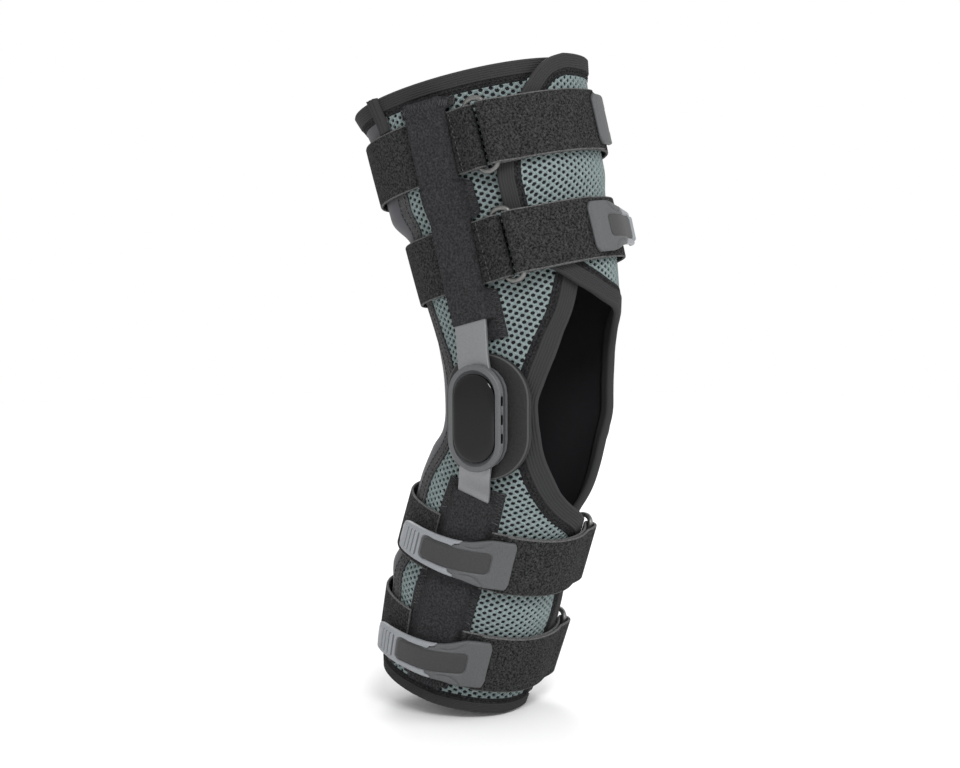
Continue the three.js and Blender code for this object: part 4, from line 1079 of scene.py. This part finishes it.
# %% Tab grid
def on_tab(strap, way, aside, height):
    degree = degree_length(strap["along"], strap["turn"] * strap["end"], TAB_LIFT)
    start = strap["end"] + TAB_OVERLAP / degree
    seat = float(rest_lift(strap, start)) + LAYER + STRAP_THICK / 2 + GAP
    rows = (
        (0, seat, 0),
        (TAB_OVERLAP + 2, seat, 0),
        (TAB_LENGTH / 2, seat + strap["rise"], strap["slant"] / 2),
        (TAB_LENGTH, seat + strap["tip"], strap["slant"]),
    )
    lift, slant = table_curve(rows, 1)(way), table_curve(rows, 2)(way)
    return on_limb(strap["along"] + aside + slant, strap["turn"] * (start - way / degree), lift + height)


def tab_grid(name, strap, ways, aside, low, high):
    way = ways[:, None] + 0 * aside
    top, under = (on_tab(strap, way, aside, height(way, aside)) for height in (high, low))
    return loft(name, np.concatenate([top, under[:, ::-1]], 1)), top[0, 0]


def rounded_rise(aside, half, round_by):
    inside = np.clip((half - np.abs(aside)) / round_by, 0, 1)
    return np.sqrt(1 - (1 - inside) ** 2)


def box_mask(way, aside, margin, corner, soft):
    x = np.abs(way - sum(PLATE) / 2) - (PLATE[1] - PLATE[0]) / 2 - margin + corner
    y = np.abs(aside) - PLATE_WIDE - margin + corner
    away = np.hypot(np.maximum(x, 0), np.maximum(y, 0)) + np.minimum(np.maximum(x, y), 0) - corner
    return 1 - smooth(away, -soft, 0)


print("a tab's plate is", PLATE[1] - PLATE[0], "mm long and", 2 * PLATE_WIDE, "mm wide")

# %% Tab bodies
def body_half(way):
    past = way - GRIP_FROM
    full = tab_half(way) * np.sqrt(smooth(way, *END_ROUND))
    to_end = np.clip(NECK_TO + NECK_SPARE - way, 0, BODY_CORNER)
    neck = NECK_HALF - BODY_CORNER + np.sqrt(BODY_CORNER**2 - (BODY_CORNER - to_end) ** 2)
    fork = FORK * smooth(past, 0, FORK_TO) + FORK_MORE * smooth(past, FORK_TO, FORK_MORE_TO)
    last = smooth(past, *NECK_RAMP)
    return (full - fork) * (1 - last) + neck * last


def plate_half(way):
    inside = np.maximum(np.minimum(way - PLATE[0], PLATE[1] - way), 0)
    corner = np.maximum(PLATE_CORNER - inside, 0)
    half = PLATE_WIDE - PLATE_CORNER + np.sqrt(PLATE_CORNER**2 - corner**2)
    return np.minimum(half, body_half(way) * PLATE_SHARE)


def body_high(way, aside):
    plate = box_mask(way, aside, 0, PLATE_CORNER, PLATE_SOFT)
    line = box_mask(way, aside, PLATE_LINE, LINE_CORNER, LINE_SOFT) - plate
    height = GRIP_BASE + (TAB_THICK - GRIP_BASE) * rounded_rise(aside, body_half(way), BODY_ROUND)
    height = height * (END_SHARE + (1 - END_SHARE) * smooth(way, *END_RAMP))
    swirl = np.abs(np.hypot(way - SWIRL_ALONG, np.abs(aside) - SWIRL_ASIDE) - SWIRL_RADIUS)
    groove = (1 - smooth(swirl, *GROOVE_SIDE)) * smooth(way, *SWIRL_IN) * (1 - smooth(way, *SWIRL_OUT))
    return height - PLATE_SUNK * plate - GROOVE * line - GROOVE * groove


def body_low(way, aside):
    return (GRIP_BASE + GAP / 2) * smooth(way - GRIP_FROM, *UNDER_STEP) + 0 * aside


def tab_body(strap):
    corner = PLATE_CORNER * (1 - np.cos(np.linspace(0, math.pi / 2, 9)))
    rim = np.array([0.2, 0.4, 0.6, 0.8])
    ways = np.concatenate([
        np.linspace(0, 3, 7), np.linspace(3.8, PLATE[0] - 1, 12), PLATE[0] - rim[::-1],
        PLATE[0] + corner, np.linspace(PLATE[0] + PLATE_CORNER + 1, GRIP_FROM - 0.3, 18),
        np.linspace(GRIP_FROM, GRIP_FROM + 6, 20),
        np.linspace(GRIP_FROM + 6.6, PLATE[1] - PLATE_CORNER - 0.5, 16),
        PLATE[1] - corner[::-1], PLATE[1] + rim, [NECK_TO],
    ])
    inner, outer = plate_half(ways)[:, None], body_half(ways)[:, None]
    beside = inner + (outer - inner) * BESIDE_PLATE
    aside = np.concatenate([-beside[:, ::-1], inner * np.linspace(-1, 1, PLATE_COLUMNS), beside], 1)
    body, first_spot = tab_grid(strap["name"] + "_tab_body", strap, ways, aside, body_low, body_high)
    fitted(body, "tab", tab_plastic, plate_plastic)
    columns = aside.shape[1]
    first = len(BESIDE_PLATE) + (0 if kept_order(body, first_spot) else columns)
    middles = (ways[1:] + ways[:-1]) / 2
    for row in np.flatnonzero((middles > PLATE[0]) & (middles < PLATE[1])):
        start = 2 * columns * int(row) + first
        second_finish(body, range(start, start + PLATE_COLUMNS - 1))
    return body


print("a tab body has", 2 * len(BESIDE_PLATE) + PLATE_COLUMNS, "points across")

# %% Tab grips
def grip_high(way, aside):
    edge = GRIP_EDGE + (TAB_THICK - GRIP_EDGE) * rounded_rise(aside, tab_half(way), GRIP_ROUND)
    gutter = 1 - smooth(np.abs(aside) - body_half(way), *GUTTER_SIDE)
    gutter = gutter * (1 - smooth(way - NECK_TO, *GUTTER_END))
    prong = (1 + smooth(way - GRIP_FROM, 0, PRONG_RAMP)) / 2
    ribs = sum(np.exp(-((way - at) ** 4)) for at in RIDGES)
    ribs = ribs * (1 - smooth(np.abs(aside), *RIB_SIDE)) * RIDGE
    tip = 1 - TIP_DROP * smooth(way, TAB_LENGTH - TIP_LENGTH, TAB_LENGTH)
    return (edge * prong + ribs) * tip * (1 - gutter) + GUTTER_HEIGHT * gutter


def grip_low(way, aside):
    return 0 * way * aside


def tab_grip(strap):
    ways = np.concatenate([
        np.linspace(GRIP_FROM + GAP, GRIP_FROM + 6, 20), np.linspace(GRIP_FROM + 6.8, NECK_TO - 1, 24),
        np.linspace(NECK_TO - 0.5, TAB_LENGTH - 3, 44), np.linspace(TAB_LENGTH - 2.6, TAB_LENGTH, 9),
    ])
    aside = tab_half(ways)[:, None] * TAB_SHARES
    grip = tab_grid(strap["name"] + "_tab_grip", strap, ways, aside, grip_low, grip_high)[0]
    fitted(grip, "grip", grip_plastic, grip_crease_shade)
    # Faces between the ribs get the darker material: painted shade in the creases
    shares = (TAB_SHARES[1:] + TAB_SHARES[:-1]) / 2
    for row, way in enumerate((ways[1:] + ways[:-1]) / 2):
        on_ribs = RIDGES[0] - CREASE_SHADE_TO < way < RIDGES[-1] + CREASE_SHADE_TO
        if on_ribs and min(abs(way - at) for at in RIDGES) > RIB_TOP:
            columns = np.flatnonzero(np.abs(shares * tab_half(way)) < RIDGE_HALF)
            second_finish(grip, (row * 2 * len(TAB_SHARES) + columns).tolist())
    return grip


tabs = [make(strap) for strap in STRAPS for make in (tab_body, tab_grip)]
print(len(tabs), "tab pieces")

# %% [markdown]
# ## Hinges
# A hinge is a stack: foam pad, inner plate, two arms, an outer cover and a gloss cap. All but the
# arms share one outline with round ends, so each is that outline swept through a short profile of
# insets and heights. Rounded rims catch the light, which sharp solids don't. The inner plate is
# nearly hidden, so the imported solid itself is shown.

# %% Hinge sizes
KNEE_HALF, PAD_THICK, PLATE_THICK, COVER_THICK = 51, 4, 2.5, 5
PAD_IN = KNEE_HALF + BINDING_LIFT + GAP
PLATE_IN = PAD_IN + PAD_THICK + GAP
ARM_IN = PLATE_IN + PLATE_THICK + GAP
COVER_IN = ARM_IN + ARM_THICK + GAP
CAP_SUNK = 1.2
CAP_IN = COVER_IN + COVER_THICK - CAP_SUNK
COVER_SIZE, CAP_SIZE, PAD_SIZE = (37.5, 66.5), (30, 55), (60, 79)
# The pad's rim row is where the band of painted highlight on its rounded edge starts
PAD_CORNER, PAD_FLATTER, PAD_HIGHLIGHT_ROW, LEAST_RADIUS = 28, 0.55, 7, 0.4
# Rows of (inset, height)
COVER_PROFILE = (
    (0.9, 0), (0.2, 0.25), (0, 0.9), (0, 1.9), (0.15, 2.15), (0.55, 2.25), (0.55, 2.5), (0.15, 2.6),
    (0, 2.85), (0, 3.9), (0.25, 4.55), (0.9, 4.95), (1.6, 5), (3.1, 5), (3.45, 4.9), (3.55, 4.6),
    (3.55, 3.6), (9, 3.5),
)
CAP_PROFILE = (
    (0, 0), (0, 0.7), (0.1, 1.05), (0.35, 1.42), (0.75, 1.75), (1.25, 2.02), (1.85, 2.22), (2.6, 2.36),
    (3.6, 2.44), (5.5, 2.47), (8, 2.48), (11, 2.48), (13.5, 2.48), (14.8, 2.48),
)
PAD_PROFILE = (
    (22, 0), (12, 0), (5, 0), (1.4, 0), (0.4, 0.3), (0, 1.1), (0, 3.0), (0.35, 3.65), (1.3, 4), (5, 4),
    (10, 4), (16, 4), (22, 4),
)
SLOTS, SLOT_HEIGHT, SLOT_HALF, SLOT_Y = (-11.5, 0, 11.5), 2.4, 1.3, (-22.0, -15.5)
SLOT_STRAIGHT, SLOT_ROUND = 2.2, 0.9
SHADE_Y, SHADE_UP, SHADE_OUT = (-18.6, -15), 3.5, 1.5
print("hinge from", round(PAD_IN, 2), "to", round(CAP_IN + CAP_PROFILE[-1][1], 2), "mm from the middle")

# %% Stacked outlines
def round_box(width, length, corner, inset, points=14):
    radius = max(corner - inset, LEAST_RADIUS)
    w, h = width / 2 - inset - radius, length / 2 - inset - radius
    spots = []
    for k, (sx, sy) in enumerate(((1, 1), (-1, 1), (-1, -1), (1, -1))):
        turn = np.linspace(k * math.pi / 2, (k + 1) * math.pi / 2, points)
        # Where two corners meet without a straight side, their common point is made once
        turn = turn if w > 0.01 or k % 2 == 0 else turn[1:]
        spots.append(pairs(sx * max(w, 0) + radius * np.cos(turn), sy * max(h, 0) + radius * np.sin(turn)))
    return np.concatenate(spots)


def stacked(name, hand, size, corner, profile, start, drop=0.0):
    rings = []
    for inset, height in profile:
        y, z = round_box(*size, corner, inset).T
        rings.append(np.stack([hand * (start + height - drop * y**2), y, z], -1))
    return loft(name, rings)


print("the cover's outline has", len(round_box(*COVER_SIZE, COVER_SIZE[0] / 2, 0)), "points")

# %% Cover, cap and pad
def slot_cut(hand, middle):
    turn = np.linspace(0, 2 * math.pi, 12, endpoint=False)
    x = hand * (COVER_IN + SLOT_HEIGHT + SLOT_HALF * np.cos(turn))
    z = middle + np.clip(5 * np.sin(turn), -SLOT_STRAIGHT, SLOT_STRAIGHT) + SLOT_ROUND * np.sin(turn)
    return loft("cut", [np.stack([x, np.full(len(turn), y), z], -1) for y in SLOT_Y])


def cover_with_slots(name, hand):
    cover = stacked(name, hand, COVER_SIZE, COVER_SIZE[0] / 2, COVER_PROFILE, COVER_IN)
    cutter = joined("cut", *(slot_cut(hand, z) for z in SLOTS))
    modifier = cover.modifiers.new("slots", "BOOLEAN")
    modifier.object, modifier.solver, modifier.operation = cutter, "EXACT", "DIFFERENCE"
    applied(cover)
    bpy.data.objects.remove(cutter)
    fitted(cover, "housing", housing_plastic, slot_shade)
    for face in cover.data.polygons:
        x, y, z = face.center * 1000
        beside = min(abs(z - slot) for slot in SLOTS) < SHADE_UP
        as_high = abs(abs(x) - COVER_IN - SLOT_HEIGHT) < SHADE_OUT
        face.material_index = int(beside and as_high and SHADE_Y[0] < y < SHADE_Y[1])
    print(name, len(cover.data.polygons), "faces with slots")


for hand, side in SIDES:
    cover_with_slots(f"{side}_hinge_cover", hand)
    cap = stacked(f"{side}_hinge_cap", hand, CAP_SIZE, CAP_SIZE[0] / 2, CAP_PROFILE, CAP_IN)
    fitted(cap, "cap", cap_gloss)
    pad = stacked(f"{side}_condyle_pad", hand, PAD_SIZE, PAD_CORNER, PAD_PROFILE, PAD_IN,
                  PAD_FLATTER / KNEE_HALF / 2)
    fitted(pad, "pad", pad_foam, pad_rim_highlight)
    around = len(pad.data.vertices) // len(PAD_PROFILE)
    # The faces round the pad's rounded rim get the lighter material: a painted highlight
    second_finish(pad, range(PAD_HIGHLIGHT_ROW * around, (PAD_HIGHLIGHT_ROW + 1) * around))
    inner_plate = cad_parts[f"{side}_hinge_plate"].data.materials
    inner_plate.clear()
    inner_plate.append(housing_plastic)
print("hinge cover, cap and pad on both sides")

# %% [markdown]
# An arm is a flat bar of coated metal. It leaves the hinge straight, is jogged in to the limb by
# two soft bends, and follows the limb inside its pocket. The solid's path is sampled finely and
# eased, so that the bends are round.

# %% Arms
ARM_FROM, JOG_FROM, ARM_SHORTER, ARM_CORNER, ARM_EASING = 4.5, 35, 8, 0.7, 14
ARM_SEAT = {1: 58, -1: -50}


def arm(name, hand, level, up):
    lift = pocket_floor(hand, level) + POCKET_CLOTH + GAP
    inside = np.linspace(ARM_SEAT[up], POCKET_TO[up] - up * ARM_SHORTER, 8)
    along = np.append([up * ARM_FROM, up * JOG_FROM], inside)
    at_hinge = (hand * (ARM_IN - lift), 0.0, float(hand), 0.0)
    in_pocket = section(inside, -hand * arm_angle(inside))
    fine = np.linspace(along[0], along[-1], 160)
    order = np.argsort(along)
    rows = [np.append([first, first], row)[order] for first, row in zip(at_hinge, in_pocket)]
    rows = softened(np.stack([np.interp(fine, along[order], row) for row in rows], -1), ARM_EASING)
    aside, deep = round_box(ARM_WIDTH, ARM_THICK, ARM_CORNER, 0, points=4).T
    spots = on_bar(fine, rows.T, aside, deep + lift + ARM_THICK / 2)
    return fitted(loft(name, spots), "arm", arm_coat)


for hand, side in SIDES:
    arm(f"{side}_upper_arm", hand, *LEVELS[0])
    arm(f"{side}_lower_arm", hand, *LEVELS[1])
print("four arms")

# %% [markdown]
# ## Stitches
# Lock stitches hold the bindings, the tapes and the straps' folded ends; zigzag stitches hold the
# pockets. Both repeat along a line, which is work for Geometry Nodes: one tree places grains of
# thread along a line, the other moves every second point aside and makes a tube of it.

# %% Stitch trees
def even_line(add, given):
    line = add("GeometryNodeMeshToCurve", Mesh=given["Geometry"])
    return add("GeometryNodeResampleCurve", {"mode": "LENGTH"}, Curve=line[0], Length=given["Spacing"])


stitch_tree, given, result, add, calc = geometry_tree(
    "Lock stitches", Spacing=0.0032, Length=0.0022, Thread=0.00032,
)
even = even_line(add, given)
tangent = add("GeometryNodeInputTangent")
turned = add("FunctionNodeAlignRotationToVector", {"axis": "Z"}, Vector=tangent[0])
bead = add("GeometryNodeMeshIcoSphere", Radius=1.0, Subdivisions=1)
size = add("ShaderNodeCombineXYZ", X=given["Thread"], Y=given["Thread"],
           Z=calc("DIVIDE", given["Length"], 2.0))
placed = add("GeometryNodeInstanceOnPoints", Points=even[0], Instance=bead[0], Rotation=turned[0],
             Scale=size[0])
stitch_tree.links.new(yarn_out(add, given, placed[0]), result["Geometry"])

zigzag_tree, given, result, add, calc = geometry_tree(
    "Zigzag stitches", Spacing=0.0012, Half_width=0.0021, Thread=0.0003,
)
even = even_line(add, given)
count = add("GeometryNodeInputIndex")
swing = calc("SUBTRACT", calc("MULTIPLY", calc("MODULO", count[0], 2.0), 2.0), 1.0)
aside = add("GeometryNodeInputNamedAttribute", {"data_type": "FLOAT_VECTOR"}, Name="aside")
move = add("ShaderNodeVectorMath", {"operation": "SCALE"}, _0=aside[0],
           Scale=calc("MULTIPLY", swing, given["Half width"]))
zigzag = add("GeometryNodeSetPosition", Geometry=even[0], Offset=move[0])
round_thread = add("GeometryNodeCurvePrimitiveCircle", Resolution=5, Radius=given["Thread"])
tube = add("GeometryNodeCurveToMesh", Curve=zigzag[0], Profile_Curve=round_thread[0])
zigzag_tree.links.new(yarn_out(add, given, tube[0]), result["Geometry"])
print("stitch trees have", len(stitch_tree.nodes), "and", len(zigzag_tree.nodes), "nodes")

# %% Sew the bindings, tapes and straps
def sew(name, tree, yarn, slot, lines, asides=None):
    mesh = bpy.data.meshes.new(name)
    edges, first = [], 0
    for spots in lines:
        edges += [(first + k, first + k + 1) for k in range(len(spots) - 1)]
        first += len(spots)
    mesh.from_pydata((np.concatenate(lines) / 1000).tolist(), edges, [])
    if asides is not None:
        ways = mesh.attributes.new("aside", "FLOAT_VECTOR", "POINT").data
        ways.foreach_set("vector", np.concatenate(asides).ravel())
    piece = from_nodes(name, tree, mesh, Yarn=yarn)
    piece.data.shade_smooth()
    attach(piece, "root")
    print(name, len(piece.data.polygons), "faces")


MARGIN_ROW, MARGIN_HEIGHT, TAPE_ROW, THREAD_LIFT = 2.4, 0.5, 3.4, 0.05
SEWN_BEHIND_RING, SEWN_SHARES = (15, 20), np.linspace(0.06, 0.94, 20)
binding_lines = []
for path, side, narrowing in edge_paths.values():
    around, along = moved_in(path, side, (BINDING_WIDTH + MARGIN_ROW) * narrowing)
    binding_lines.append(on_sleeve(along, around, WALL + MARGIN_HEIGHT))
tape_lines = [beside_seam(path, aside, WALL + SLIT + TAPE)[:, 0]
              for path in (lateral_seam, medial_seam) for aside in (-TAPE_ROW, TAPE_ROW)]


def sewn_across(strap, reach):
    path = ring_path(strap)
    past_fold = np.arange(len(path)) > path[:, 1].argmax()
    at = np.argmax(past_fold & (path[:, 0] > strap["ring"] + reach / strap_degree(strap)))
    return across_strap(strap, path[at, 0], path[at, 1] + STRAP_THICK / 2 + PILE_SWELL, SEWN_SHARES)


strap_lines = [sewn_across(strap, reach) for strap in STRAPS for reach in SEWN_BEHIND_RING]
sew("binding_stitches", stitch_tree, thread, "tape", binding_lines)
sew("tape_stitches", stitch_tree, thread, "tape", tape_lines)
sew("strap_stitches", stitch_tree, zigzag_thread, "pile", strap_lines)

# %% Sew the pockets
FREE_OF_STRAP, SHORTEST_RUN = STRAP_CLEAR + 3, 4
zigzags = []
for hand, level, up in ((hand, *level) for hand, side in SIDES for level in LEVELS):
    along = np.linspace(FLANGE_FROM[up], POCKET_TO[up], 200)
    middle = -hand * arm_angle(along)
    degree = degree_length(along, middle)
    away = [np.abs(along - strap["along"]) for strap in STRAPS if level in strap["name"]]
    free = np.min(away, 0) > FREE_OF_STRAP
    runs = np.split(np.arange(len(along)), np.where(np.diff(free.astype(int)))[0] + 1)
    for edge in (-1, 1):
        turn = middle + edge * (POCKET_HALF + FLANGE_WIDTH / 2) / degree
        spots = on_limb(along, turn, POCKET_LIFT + POCKET_CLOTH + THREAD_LIFT)
        beside = unit(on_limb(along, turn + 1, POCKET_LIFT + POCKET_CLOTH) - spots)
        zigzags += [(spots[run], beside[run]) for run in runs if free[run[0]] and len(run) > SHORTEST_RUN]
zigzags += [(at, unit(after - before)) for before, at, after in pocket_ends]
sew("pocket_stitches", zigzag_tree, zigzag_thread, "pile", *zip(*zigzags))

# %% [markdown]
# ## Cloth sizes
# Each binding's length is worked out from its path, in metres, and each pocket's level from its name.
# Straps and tapes are rectangles; the panels are cut to a shape inside a rectangle.


for name, piece in bindings.items():
    round(path_length(edge_paths[name][0]) / 1000, 3)
for piece in pockets:
    up = 1 if "thigh" in piece.name else -1

# %% [markdown]
# ## Studio
# A pale floor and a bright, even room show dark cloth best. The camera sees the room as pure white,
# and its light on the brace is a little weaker. One large soft light from the front left shapes
# the limb, a second from the right fills it and a third from behind lights its rim. The camera
# stands at the angle of the picture that this brace was judged against.

# %% Floor and room
FLOOR_RADIUS, FLOOR_GAP, ROOM_LIGHT = 2, 0.001, 0.8
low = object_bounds()[0]
bpy.ops.mesh.primitive_circle_add(vertices=96, radius=FLOOR_RADIUS, fill_type="NGON",
                                  location=(0, 0, low.z - FLOOR_GAP))
floor = bpy.context.object
floor.name = "floor"
floor.data.materials.append(finish("pale floor", (0.95, 0.95, 0.95), 0.8, specular=0.1)[0])

bpy.context.scene.view_settings.view_transform = "Standard"
world = bpy.data.worlds.new("studio")
bpy.context.scene.world = world
world.use_nodes = True
room = world.node_tree.nodes["Background"].inputs
room["Color"].default_value = (1, 1, 1, 1)
seen = node(world.node_tree, "ShaderNodeLightPath")["Is Camera Ray"]
extra = maths(world.node_tree, "MULTIPLY", seen, 1 - ROOM_LIGHT)
world.node_tree.links.new(maths(world.node_tree, "ADD", extra, ROOM_LIGHT), room["Strength"])
print("floor at", round(low.z - FLOOR_GAP, 4), "m")

# %% Lights
def aimed(name, data, spot):
    piece = bpy.data.objects.new(name, data)
    piece.location = spot
    piece.rotation_mode = "QUATERNION"
    piece.rotation_quaternion = (-Vector(spot)).to_track_quat("-Z", "Y")
    bpy.context.scene.collection.objects.link(piece)
    return piece


def soft_light(name, spot, size, watts):
    data = bpy.data.lights.new(name, "AREA")
    data.shape, data.size, data.energy = "DISK", size, watts
    aimed(name, data, spot)


soft_light("key", (-1.5, -1.25, 1.6), 0.8, 34)
soft_light("fill", (0.6, -1.7, 0.9), 1.1, 8)
soft_light("rim", (1.4, 1.2, 1.4), 0.9, 16)
print("three lights")

# %% Camera
AZIMUTH, ELEVATION, DISTANCE = math.radians(-60), math.radians(6.5), 1.2
PIXELS_PER_METRE, MIDDLE, FRAME, SENSOR = 1550, (531, 407.5), (960, 768), 36
level_reach = DISTANCE * math.cos(ELEVATION)
stand = (math.sin(AZIMUTH) * level_reach, -math.cos(AZIMUTH) * level_reach, DISTANCE * math.sin(ELEVATION))
lens = bpy.data.cameras.new("camera")
lens.sensor_width = SENSOR
lens.lens = PIXELS_PER_METRE * DISTANCE / FRAME[0] * SENSOR
lens.shift_x = (FRAME[0] / 2 - MIDDLE[0]) / FRAME[0]
lens.shift_y = (MIDDLE[1] - FRAME[1] / 2) / FRAME[0]
camera = aimed("camera", lens, stand)
bpy.context.scene.camera = camera
print("camera at", [round(x, 3) for x in camera.location], "lens", round(lens.lens, 2))
